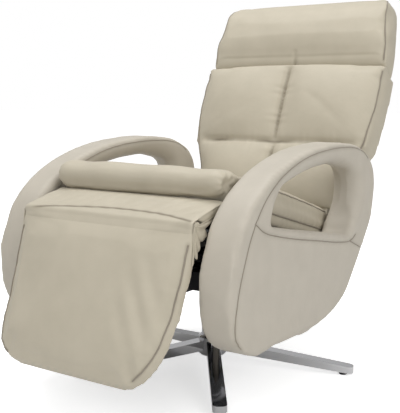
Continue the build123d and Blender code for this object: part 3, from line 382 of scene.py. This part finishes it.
def inflate(piece, pressure, cap, held, calm):
    """Blow the leather up like a filled cover; held vertices stay, others move at most cap.
    Calm is how often the swelling is averaged, which leaves only the broad folds."""
    mesh = piece.data
    start = coords(mesh)
    group = piece.vertex_groups.new(name="held")
    group.add([int(index) for index in np.flatnonzero(held)], 1.0, "REPLACE")
    cloth = piece.modifiers.new("cloth", "CLOTH")
    settings = cloth.settings
    settings.quality = 4
    settings.mass = 0.3
    settings.tension_stiffness = 18
    settings.compression_stiffness = 8
    settings.shear_stiffness = 8
    settings.bending_stiffness = 0.6
    settings.use_pressure = True
    settings.uniform_pressure_force = pressure
    settings.effector_weights.gravity = 0
    settings.vertex_group_mass = "held"
    cloth.point_cache.frame_start = 1
    cloth.point_cache.frame_end = CLOTH_FRAMES
    for step in range(1, CLOTH_FRAMES + 1):
        scene.frame_set(step)
    graph = bpy.context.evaluated_depsgraph_get()
    blown = coords(piece.evaluated_get(graph).to_mesh())
    piece.modifiers.remove(cloth)
    piece.vertex_groups.remove(group)
    move = relax(blown - start, edge_pairs(mesh), calm)
    length = np.linalg.norm(move, axis=1, keepdims=True)
    set_coords(mesh, start + move * np.minimum(1, cap / np.maximum(length, 1e-9)))
    scene.frame_set(1)


def through(points, step):
    """Smooth path through the points, sampled about every step metres."""
    points = np.array(points, dtype=float)
    padded = np.vstack((2 * points[0] - points[1], points, 2 * points[-1] - points[-2]))
    path = []
    for index in range(1, len(padded) - 2):
        before, start, end, after = padded[index - 1:index + 3]
        count = max(2, int(np.linalg.norm(end - start) / step))
        for part in range(count):
            t = part / count
            path.append(0.5 * (2 * start + (end - before) * t
                               + (2 * before - 5 * start + 4 * end - after) * t ** 2
                               + (3 * start - before - 3 * end + after) * t ** 3))
    path.append(points[-1])
    return np.array(path)


def distance_to(points, path):
    """Distance of each point to a path, and how far along the path its foot lies."""
    best = np.full(len(points), 1e9)
    along = np.zeros(len(points))
    travelled = 0.0
    for start, end in zip(path[:-1], path[1:]):
        run = end - start
        length = np.linalg.norm(run)
        share = np.clip((points - start) @ run / length ** 2, 0, 1)
        gap = np.linalg.norm(points - start - share[:, None] * run, axis=1)
        nearer = gap < best
        best[nearer] = gap[nearer]
        along[nearer] = travelled + share[nearer] * length
        travelled += length
    return best, along


# The per-vertex painted shade that the leather material darkens its colour by.
def crease_shade_of(mesh):
    attribute = mesh.attributes.get("painted_crease_shade") or mesh.attributes.new("painted_crease_shade", "FLOAT", "POINT")
    values = np.empty(len(mesh.vertices))
    attribute.data.foreach_get("value", values)
    return attribute, values


SEAM_LINE = 0.0042       # half-width of the painted shade line in a seam


def press_seam(piece, path, depth, width, pucker=0.0, pitch=0.03, shade=0.5):
    """Draw the leather in along a seam, with small gathers across it, and paint shade along the line."""
    mesh = piece.data
    points = coords(mesh)
    gap, along = distance_to(points, path)
    dip = depth * np.exp(-(gap / width) ** 2)
    gathers = 0.5 + 0.5 * np.sin(2 * pi * along / pitch + 1.7 * np.sin(2 * pi * along / (2.7 * pitch)))
    dip = dip + pucker * gathers * np.exp(-(gap / (3 * width)) ** 2)
    set_coords(mesh, points - normals(mesh) * dip[:, None])
    # Painted shade: the seam's line is darkened in the leather's colour, by at most shade.
    attribute, values = crease_shade_of(mesh)
    values = np.maximum(values, shade * np.exp(-(gap / SEAM_LINE) ** 2))
    attribute.data.foreach_set("value", values.astype(np.float32))


def surface_of(piece):
    graph = bpy.context.evaluated_depsgraph_get()
    return BVHTree.FromObject(piece, graph)


def onto(surface, path, lift):
    """A path laid on the nearest surface, raised by lift."""
    laid = []
    for point in path:
        place, normal, _, _ = surface.find_nearest(Vector(point))
        laid.append(place + normal * lift)
    return laid


def welt(name, piece, path, radius, lift, body):
    """Sewn edge cord along a path on a cushion."""
    points = onto(surface_of(piece), path, lift)
    curve = bpy.data.curves.new(name, "CURVE")
    curve.dimensions = "3D"
    curve.bevel_depth = radius
    curve.bevel_resolution = 2
    curve.use_fill_caps = True
    line = curve.splines.new("POLY")
    line.points.add(len(points) - 1)
    for target, point in zip(line.points, points):
        target.co = (*point, 1)
    line.use_smooth = True
    draft = bpy.data.objects.new(name + "_draft", curve)
    scene.collection.objects.link(draft)
    graph = bpy.context.evaluated_depsgraph_get()
    mesh = bpy.data.meshes.new_from_object(draft.evaluated_get(graph))
    bpy.data.objects.remove(draft)
    bpy.data.curves.remove(curve)
    mesh.name = name
    mesh.polygons.foreach_set("use_smooth", [True] * len(mesh.polygons))
    cord = bpy.data.objects.new(name, mesh)
    scene.collection.objects.link(cord)
    mesh.materials.append(WELT_PAINTED_SHADE)
    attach(cord, body)


def add_welts(name, piece, paths, radius, lift, body):
    for index, path in enumerate(paths):
        welt(f"{name}_{index + 1}", piece, path, radius, lift, body)


def dress(piece, body, slot, fill, *replaced):
    """Leather, one subdivision, and the piece's place in the frame."""
    piece.data.materials.clear()
    piece.data.materials.append(SLOT_MATERIALS[slot])
    smooth = piece.modifiers.new("smooth", "SUBSURF")
    smooth.levels = 1
    smooth.render_levels = 1
    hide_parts(*replaced)
    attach(piece, body)


def sheet_piece(name, vertices, width, shades, thickness):
    """Thin leather from rows of vertices, as a closed mesh of that thickness, subdivided once; shades is
    painted shade for each vertex.
    """
    faces = [(start + column, start + column + 1, start + width + column + 1, start + width + column)
             for start in range(0, len(vertices) - width, width) for column in range(width - 1)]
    draft = bpy.data.meshes.new(name + "_draft")
    draft.from_pydata(vertices, [], faces)
    attribute, _ = crease_shade_of(draft)
    attribute.data.foreach_set("value", np.array(shades, dtype=np.float32))
    piece = bpy.data.objects.new(name, draft)
    scene.collection.objects.link(piece)
    thick = piece.modifiers.new("thick", "SOLIDIFY")
    thick.thickness = thickness
    thick.offset = 0
    smooth = piece.modifiers.new("smooth", "SUBSURF")
    smooth.levels = 1
    graph = bpy.context.evaluated_depsgraph_get()
    piece.data = bpy.data.meshes.new_from_object(piece.evaluated_get(graph))
    piece.modifiers.clear()
    piece.data.name = name
    bpy.data.meshes.remove(draft)
    piece.data.polygons.foreach_set("use_smooth", [True] * len(piece.data.polygons))
    piece.data.materials.append(GREIGE)
    return piece


# Arms: lines along Y and Z, as in the part's source

ARM_SEAM = (
    (0.252, 0.592), (0.221, 0.614), (0.150, 0.628), (0.086, 0.631), (-0.002, 0.630), (-0.097, 0.622),
    (-0.184, 0.604), (-0.270, 0.572), (-0.335, 0.528), (-0.385, 0.468), (-0.418, 0.405),
    (-0.442, 0.345), (-0.455, 0.288), (-0.452, 0.240), (-0.432, 0.205),
)
ARM_LOW_SEAM = (
    (-0.372, 0.485), (-0.335, 0.462), (-0.280, 0.446), (-0.180, 0.424), (-0.060, 0.402),
    (0.060, 0.380), (0.140, 0.372), (0.175, 0.385),
)
ARM_REAR_SEAM = ((0.140, 0.372), (0.190, 0.352), (0.232, 0.336))
ARM_LOOP = (
    (-0.306, 0.469), (-0.273, 0.520), (-0.200, 0.555), (-0.046, 0.583), (0.096, 0.583), (0.186, 0.545),
    (0.186, 0.468), (0.138, 0.389),
)
ARM_OUTLINE = (
    (-0.473, 0.320), (-0.443, 0.452), (-0.392, 0.521), (-0.306, 0.577), (-0.175, 0.621), (-0.020, 0.641),
    (0.110, 0.641), (0.215, 0.622), (0.285, 0.580), (0.309, 0.520), (0.297, 0.440), (0.272, 0.391),
    (0.183, 0.289), (0.098, 0.214), (-0.046, 0.178), (-0.254, 0.180), (-0.385, 0.188), (-0.450, 0.236),
    (-0.473, 0.320),
)


ARM_EDGE_ROUND = 0.012
ARM_LOOP_ROUND = 0.030           # added to it in the loop, away from the loop's two corners


def roll_arm_edges(arm, sign):
    """Round the padding over the arm's outline and, more fully, into the top and rear of its loop."""
    mesh = arm.data
    points = coords(mesh)
    flat = points.copy()
    flat[:, 0] = 0
    middle = (ARM_INNER_X + ARM_OUTER_X) / 2
    half = (ARM_OUTER_X - ARM_INNER_X) / 2
    side = sign * points[:, 0] - middle
    loop_gap, _ = distance_to(flat, through([(0, y, z) for y, z in ARM_LOOP], 0.01))
    low_gap, _ = distance_to(flat, np.array([(0, *ARM_LOOP[-1]), (0, *ARM_LOOP[0])]))
    rim_gap, _ = distance_to(flat, through([(0, y, z) for y, z in ARM_OUTLINE], 0.01))
    corner_gap = np.minimum(np.linalg.norm(flat[:, 1:] - ARM_LOOP[0], axis=1),
                            np.linalg.norm(flat[:, 1:] - ARM_LOOP[-1], axis=1))
    loop_round = ARM_EDGE_ROUND + ARM_LOOP_ROUND * np.clip((corner_gap - 0.03) / 0.08, 0, 1)
    share = np.ones(len(points))
    for gap, radius in ((loop_gap, loop_round), (low_gap, ARM_EDGE_ROUND), (rim_gap, ARM_EDGE_ROUND)):
        near = np.clip(gap / radius, 0, 1)
        drop = radius * (1 - np.sqrt(1 - (1 - near) ** 2))
        share = np.minimum(share, (half - drop) / half)
    points[:, 0] = sign * (middle + side * share)
    set_coords(mesh, points)


def make_arm(side, sign):
    sources = [f"{part}_{side}" for part in
               ("arm_band", "arm_liner", "arm_inner_panel", "arm_outer_panel")]
    arm = soft_copy(f"arm_cover_{side}", sources + [f"arm_frame_{side}"], voxel=0.006, steps=3)
    roll_arm_edges(arm, sign)
    round_off(arm.data, 9)
    paths = []
    for face_x, line in ((ARM_OUTER_X, ARM_SEAM), (ARM_OUTER_X, ARM_LOW_SEAM),
                         (ARM_OUTER_X, ARM_REAR_SEAM), (ARM_INNER_X, ARM_SEAM)):
        path = through([(sign * face_x, y, z) for y, z in line], 0.008)
        paths.append(np.array([tuple(point) for point in onto(surface_of(arm), path, 0.0)]))
    for path in paths:
        press_seam(arm, path, 0.0016, 0.006, shade=0.25)
    points = coords(arm.data)
    points[:, 0] = sign * np.maximum(sign * points[:, 0], ARM_INNER_X - 0.001)
    set_coords(arm.data, points)
    dress(arm, "swivel_frame", "arm_leather", 0.8, *sources)
    add_welts(f"arm_seam_{side}", arm, paths, 0.0013, 0.0, "swivel_frame")


# Seat: places along Y and Z of its frame

ROLL_AXIS = (-0.019, 0.063)
SEAT_HALF = 0.264        # clear of the arms
SEAT_HIGH_SEAM = ((0.045, 0.094), (0.15, 0.098), (0.30, 0.097), (0.45, 0.095), (0.53, 0.088))
SEAT_LOW_SEAM = ((-0.005, 0.030), (0.15, 0.030), (0.35, 0.030), (0.55, 0.030))


def make_seat():
    seat = soft_copy("seat_cover", ["seat_cushion"], voxel=0.006, steps=5)
    mesh = seat.data
    local = in_frame(coords(mesh), SEAT)
    inflate(seat, 3.0, 0.004, local[:, 2] < 0.008, 3)
    local = in_frame(coords(mesh), SEAT)
    across, along, up = local.T
    # The front roll is sewn tighter than its foam, most at its ends and on the sitter's left
    low = np.clip((0.086 - up) / 0.046, 0, 1)
    end = np.clip((np.abs(across) - 0.215) / 0.049, 0, 1)
    tight = 0.17 + 0.1 * across + low * (0.03 + 0.15 * across) + 0.22 * end ** 2
    slim = 1 - tight * np.clip((0.045 - along) / 0.05, 0, 1)
    local[:, 1] = ROLL_AXIS[0] + (along - ROLL_AXIS[0]) * slim
    local[:, 2] = ROLL_AXIS[1] + (up - ROLL_AXIS[1]) * slim
    across, along, up = local.T.copy()
    # Ends of the roll are gathered to a point
    radius = np.hypot(along - ROLL_AXIS[0], up - ROLL_AXIS[1])
    turn = np.arctan2(up - ROLL_AXIS[1], along - ROLL_AXIS[0])
    end = np.clip((np.abs(across) - 0.225) / 0.03, 0, 1)
    pull = 0.012 * np.exp(-(radius / 0.016) ** 2)
    folds = 0.0035 * (0.5 + 0.5 * np.cos(9 * turn)) * np.exp(-((radius - 0.024) / 0.014) ** 2)
    local[:, 0] -= np.sign(across) * end * (pull + folds)
    local[:, 0] = np.clip(local[:, 0], -SEAT_HALF, SEAT_HALF)
    set_coords(mesh, out_of_frame(local, SEAT))
    seams = []
    for sign in (-1, 1):
        for x, line in ((0.259, SEAT_HIGH_SEAM), (0.262, SEAT_LOW_SEAM)):
            path = through([(sign * x, s, n) for s, n in line], 0.01)
            seams.append(out_of_frame(path, SEAT))
    for path in seams:
        press_seam(seat, path, 0.003, 0.009, pucker=0.0012, pitch=0.035)
    dress(seat, "swivel_frame", "cushion_leather", 0.75, "seat_cushion")
    add_welts("seat_welt", seat, seams, 0.0022, 0.0008, "swivel_frame")


# Back: heights along its frame

BACK_SEAM = 0.252
BACK_HALVES = ((0.050, 0.246), (0.150, 0.256), (BACK_SEAM, 0.298), (0.385, 0.312), (0.516, 0.314))
BACK_FULLNESS = ((0.05, 1.0), (0.13, 1.008), (0.25, 1.026), (0.42, 1.016), (0.516, 1.012))


def keep_out_of_headrest(local):
    """Leave the hollow that the tilting headrest rolls in."""
    hollow = HEAD_SWEEP + 0.0008
    reach = local[:, 1:] - HEAD_HINGE
    radius = np.linalg.norm(reach, axis=1)
    inside = (radius < hollow) & (radius > 0.03) & (reach[:, 1] < 0)
    local[inside, 1:] = HEAD_HINGE + reach[inside] * (hollow / radius[inside])[:, None]


def make_back():
    back = soft_copy("back_cover_front", ["back_cushion"], voxel=0.0055, steps=4)
    mesh = back.data
    across, ahead, up = in_frame(coords(mesh), BACK).T
    front = -ahead
    seam = ((np.abs(across) < 0.004) | (np.abs(up - BACK_SEAM) < 0.004)) & (front > 0.02)
    inflate(back, 3.5, 0.011, seam | (front < -0.030), 14)
    local = in_frame(coords(mesh), BACK)
    local[:, 0] *= np.interp(local[:, 2], *zip(*BACK_FULLNESS))
    set_coords(mesh, out_of_frame(local, BACK))
    cross = [(x, -0.060, BACK_SEAM) for x in np.linspace(-0.262, 0.262, 15)]
    middle = [(0, -0.062, u) for u in np.linspace(0.055, 0.500, 15)]
    for line in (cross, middle):
        path = out_of_frame(through(line, 0.01), BACK)
        press_seam(back, path, 0.006, 0.010, pucker=0.0016, pitch=0.034, shade=0.8)
    sides = []
    for sign in (-1, 1):
        line = [(sign * (np.interp(u, *zip(*BACK_HALVES)) - 0.003), -0.044, u)
                for u in np.linspace(0.060, 0.495, 14)]
        sides.append(out_of_frame(through(line, 0.01), BACK))
    for path in sides:
        press_seam(back, path, 0.002, 0.008, pucker=0.0008, pitch=0.04, shade=0.4)
    local = in_frame(coords(mesh), BACK)
    keep_out_of_headrest(local)
    set_coords(mesh, out_of_frame(local, BACK))
    dress(back, "back", "cushion_leather", 0.7, "back_cushion")
    add_welts("back_welt", back, sides, 0.0022, 0.0008, "back")


def make_back_shell():
    shell = soft_copy("back_cover_rear", ["back_cover", "back_board"], voxel=0.0065, steps=4)
    local = in_frame(coords(shell.data), BACK)
    inflate(shell, 2.0, 0.006, local[:, 1] < 0.056, 4)
    dress(shell, "back", "cushion_leather", 0.6, "back_cover", "back_board")


# Headrest: lines in the back's frame

HEAD_SIDE = (
    (0.304, -0.040, 0.535), (0.306, -0.045, 0.575), (0.306, -0.054, 0.620), (0.306, -0.055, 0.680),
    (0.303, -0.046, 0.715), (0.298, -0.030, 0.738), (0.291, -0.008, 0.752), (0.280, 0.014, 0.760),
)
HEAD_FOOT = 0.55                 # below this height the cover lies close on its foam
HEAD_NOTCH = ((0, 0.000, 0.500), (0, -0.029, 0.520), (0, -0.045, 0.542), (0, -0.056, 0.562))


def head_taper(up):
    """Share of its width that the headrest keeps towards its top."""
    return 1 - 0.09 * np.clip((up - HEAD_FOOT) / 0.215, 0, 1) ** 1.3


def make_headrest():
    head = soft_copy("headrest_cover", ["headrest_pad", "headrest_board"], voxel=0.005, steps=18)
    mesh = head.data
    _, ahead, up = in_frame(coords(mesh), BACK).T
    inflate(head, 3.0, 0.007, (up < HEAD_FOOT) | (ahead > 0.034), 16)
    local = in_frame(coords(mesh), BACK)
    local[:, 0] *= head_taper(local[:, 2])
    # Its foot keeps to the hollow in the back, also when it tilts forward
    reach = local[:, 1:] - HEAD_HINGE
    radius = np.linalg.norm(reach, axis=1)
    room = HEAD_SWEEP + 1.6 * np.clip(reach[:, 1] + 0.012, 0, 0.2)
    local[:, 1:] = HEAD_HINGE + reach * np.minimum(1, room / radius)[:, None]
    set_coords(mesh, out_of_frame(local, BACK))
    sides = []
    for sign in (-1, 1):
        line = [(sign * x * head_taper(u), y, u) for x, y, u in HEAD_SIDE]
        sides.append(out_of_frame(through(line, 0.01), BACK))
    for path in sides:
        press_seam(head, path, 0.0025, 0.008, pucker=0.0008, pitch=0.04, shade=0.4)
    press_seam(head, out_of_frame(through(HEAD_NOTCH, 0.006), BACK), 0.006, 0.008, shade=0.6)
    dress(head, "headrest", "cushion_leather", 0.75, "headrest_pad")
    add_welts("headrest_welt", head, sides, 0.0018, 0.0006, "headrest")


# Legrest. The cover is sewn a little skew: its corner on the sitter's right is fuller. Heights along
# the legrest's frame, then the shares of the width on the sitter's right and left

LEGREST_SKEW = (
    (-0.37, 1.20, 0.95), (-0.35, 1.18, 0.94), (-0.33, 1.15, 0.935), (-0.30, 1.10, 0.95),
    (-0.25, 1.065, 0.99), (-0.20, 1.06, 1.02), (-0.10, 1.025, 1.025), (-0.06, 1.015, 1.015),
    (0.0, 1.0, 1.0),
)
LEGREST_LEFT_SEAM = (
    (0.254, -0.024, -0.03), (0.254, -0.026, -0.12), (0.248, -0.027, -0.20), (0.231, -0.026, -0.26),
    (0.205, -0.024, -0.308), (0.176, -0.020, -0.340),
)
LEGREST_RIGHT_SEAM = (
    (-0.254, -0.024, -0.03), (-0.254, -0.026, -0.12), (-0.256, -0.027, -0.20), (-0.254, -0.026, -0.27),
    (-0.242, -0.024, -0.318), (-0.215, -0.020, -0.346),
)


def make_legrest():
    pad = soft_copy("legrest_cover", ["legrest_pad"], voxel=0.0055, steps=6)
    mesh = pad.data
    _, ahead, up = in_frame(coords(mesh), LEGREST).T
    inflate(pad, 3.0, 0.008, (ahead > 0.0) | (up > -0.004), 8)
    local = in_frame(coords(mesh), LEGREST)
    across, ahead, up = local.T
    heights, right, left = zip(*LEGREST_SKEW)
    local[:, 0] = across * np.where(across < 0, np.interp(up, heights, right), np.interp(up, heights, left))
    across = local[:, 0]
    # Diagonal pulls run up from the lower edge on the sitter's left, and the right side is slack
    fold = np.sin(2 * pi * (across * 0.9 + up * 0.45) / 0.052)
    spot = np.exp(-(((across - 0.165) / 0.06) ** 2 + ((up + 0.19) / 0.10) ** 2))
    hollow = np.exp(-(((across + 0.20) / 0.10) ** 2 + ((up + 0.17) / 0.07) ** 2))
    local[:, 1] += (ahead < -0.01) * (0.0022 * fold * spot + 0.004 * hollow)
    set_coords(mesh, out_of_frame(local, LEGREST))
    sides = [out_of_frame(through(line, 0.01), LEGREST) for line in (LEGREST_RIGHT_SEAM, LEGREST_LEFT_SEAM)]
    for path in sides:
        press_seam(pad, path, 0.002, 0.008, pucker=0.0008, pitch=0.04, shade=0.4)
    dress(pad, "legrest", "cushion_leather", 0.7, "legrest_pad")
    add_welts("legrest_welt", pad, sides, 0.0020, 0.0006, "legrest")


def make_flap():
    flap = soft_copy("legrest_flap_cover", ["legrest_flap"], voxel=0.005, steps=3)
    dress(flap, "swivel_frame", "cushion_leather", 0.5, "legrest_flap")


# The flap's leather runs on over the hinge to the front of the legrest: places along the flap with
# their height over the hinge, then directions about the hinge in degrees with their distance from it,
# and with the lift over the legrest's cover, into which the lower edge is tucked
BRIDGE_HALF = 0.2575
BRIDGE_COLUMNS = 129
BRIDGE_FLAT = (
    (0.122, 0.0300), (0.100, 0.0305), (0.085, 0.0318), (0.055, 0.0330), (0.028, 0.0330), (0.0, 0.0328),
)
BRIDGE_FLAT_END = 0.003
BRIDGE_FLAT_ROWS = 28
BRIDGE_PUFF = 0.009              # swell of the leather before the seat roll
BRIDGE_EDGE_DROP = 0.003         # at its two sides
BRIDGE_PROBE = 0.09              # rays that find the legrest's cover start this far from the hinge
BRIDGE_ROUND = ((104.8, 0.0328), (120, 0.0335), (130, 0.0335), (144, 0.0325), (178, 0.0304))
BRIDGE_LIFT = ((104.8, 0.0012), (150, 0.0012), (166, 0.0004), (178, -0.0014))
BRIDGE_ROUND_ROWS = 16
BRIDGE_BEND_ROWS = (22, 42)      # two rows whose middle points make_bridge looks up
BRIDGE_SEAM = (
    (-0.256, -0.024), (-0.178, -0.006), (-0.090, 0.009), (0.000, 0.018), (0.088, 0.018), (0.166, 0.011),
    (0.248, -0.008),
)


def side_edge(column):
    """How far a place across the leather, from -1 to 1, lies in the strip along its side."""
    return np.clip((abs(column) - 0.95) / 0.05, 0, 1)


def make_bridge():
    pad = surface_of(bpy.data.objects["legrest_cover"])
    columns = np.linspace(-1, 1, BRIDGE_COLUMNS)
    vertices = []
    for row, along in enumerate(np.linspace(BRIDGE_FLAT[0][0], BRIDGE_FLAT_END, BRIDGE_FLAT_ROWS)):
        height = np.interp(-along, [-place for place, _ in BRIDGE_FLAT], [up for _, up in BRIDGE_FLAT])
        for column in columns:
            puff = BRIDGE_PUFF * np.exp(-((along - 0.085) / 0.027) ** 2) * (1 - column ** 4)
            spot = FLAP @ Vector((BRIDGE_HALF * column, along, height + puff))
            end = side_edge(column)
            ripple = 0.0005 * sin(37 * column + 0.5 * row) * (1 - end)
            spot.z += ripple - BRIDGE_EDGE_DROP * end ** 2
            vertices.append(spot)
    for turn in np.linspace(BRIDGE_ROUND[0][0], BRIDGE_ROUND[-1][0], BRIDGE_ROUND_ROWS):
        out = Vector((0, cos(radians(turn)), sin(radians(turn))))
        laid = np.clip((turn - 126) / 20, 0, 1)
        for column in columns:
            middle = LEGREST_HINGE + Vector((BRIDGE_HALF * column, 0, 0))
            radius = np.interp(turn, *zip(*BRIDGE_ROUND)) - BRIDGE_EDGE_DROP * side_edge(column) ** 2
            hit = pad.ray_cast(middle + BRIDGE_PROBE * out, -out, BRIDGE_PROBE)[0]
            if hit:
                on_pad = (hit - middle).length + np.interp(turn, *zip(*BRIDGE_LIFT))
                radius += laid * (on_pad - radius)
            vertices.append(middle + float(radius) * out)
    bridge = sheet_piece("hinge_leather", vertices, len(columns), [0] * len(vertices), 0.0016)
    seam = through([FLAP @ Vector((x, along, 0.0335)) for x, along in BRIDGE_SEAM], 0.008)
    press_seam(bridge, np.array(seam), 0.0010, 0.004, shade=0.9)
    start, end = (tuple(vertices[row * len(columns) + len(columns) // 2]) for row in BRIDGE_BEND_ROWS)
    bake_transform(bridge)


def make_gusset(side, sign):
    """Loose leather that closes the corner between the flap and the legrest, crumpled at rest."""
    corner, at_flap, at_pad = np.array([(-0.470, 0.484), (-0.396, 0.497), (-0.482, 0.392)])
    side_x = 0.2605
    rows = 9
    columns = 33
    vertices = []
    shades = []
    for row in range(rows):
        out = row / (rows - 1)
        for column in range(columns):
            around = column / (columns - 1)
            edge = 1 + 0.10 * sin(19 * around + 0.6) + 0.06 * sin(43 * around)
            y, z = corner + out * edge * (at_flap * (1 - around) + at_pad * around - corner)
            fold = sin(31 * around + 3 * out + 1.5 * sin(9 * around))
            vertices.append((sign * (side_x + 0.0022 * fold * (0.3 + 0.7 * out)), y, z))
            # Painted shade in the fold troughs, growing away from the corner.
            shades.append(0.45 * out * max(0.0, -fold) ** 2)
    gusset = sheet_piece(f"corner_gusset_{side}", vertices, columns, shades, 0.0014)
    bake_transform(gusset)


GAP_SEAT_EDGE = (0.230, 0.415)   # along Y and Z, as GAP_BACK_EDGE
GAP_BACK_EDGE = (0.278, 0.430)
GAP_TUCK = 0.001
GAP_SAG = 0.025


def make_gap_cover():
    """Loose leather from the rear of the seat to the foot of the back, sagging between them."""
    across = np.linspace(-0.225, 0.225, 45)
    seat = surface_of(bpy.data.objects["seat_cover"])
    back = surface_of(bpy.data.objects["back_cover_front"])
    at_seat = onto(seat, [(x, *GAP_SEAT_EDGE) for x in across], -GAP_TUCK)
    at_back = onto(back, [(x, *GAP_BACK_EDGE) for x in across], -GAP_TUCK)
    vertices = []
    for share in np.linspace(0, 1, 17):
        for start, end in zip(at_seat, at_back):
            spot = start.lerp(end, float(share))
            spot.z -= 4 * GAP_SAG * share * (1 - share)
            vertices.append(spot)
    cover = sheet_piece("seat_gap_leather", vertices, len(across), [0] * len(vertices), 0.0014)
    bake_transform(cover)


add_camera()
add_world()
add_area_light("key", (0.6, -3.3, 1.9), (0, 0, 0.55), 2.4, 27)
add_area_light("fill", (3.2, -0.6, 1.8), (0, 0, 0.5), 2.2, 38)
add_area_light("top", (-0.4, -0.2, 3.4), (0, 0, 0.4), 2.6, 62)
add_floor()
finish_cad_nodes()
make_arm("left", 1)
make_arm("right", -1)
make_seat()
make_back()
make_back_shell()
make_headrest()
make_legrest()
make_flap()
make_bridge()
make_gusset("left", 1)
make_gusset("right", -1)
make_gap_cover()

scene.view_settings.view_transform = "Standard"
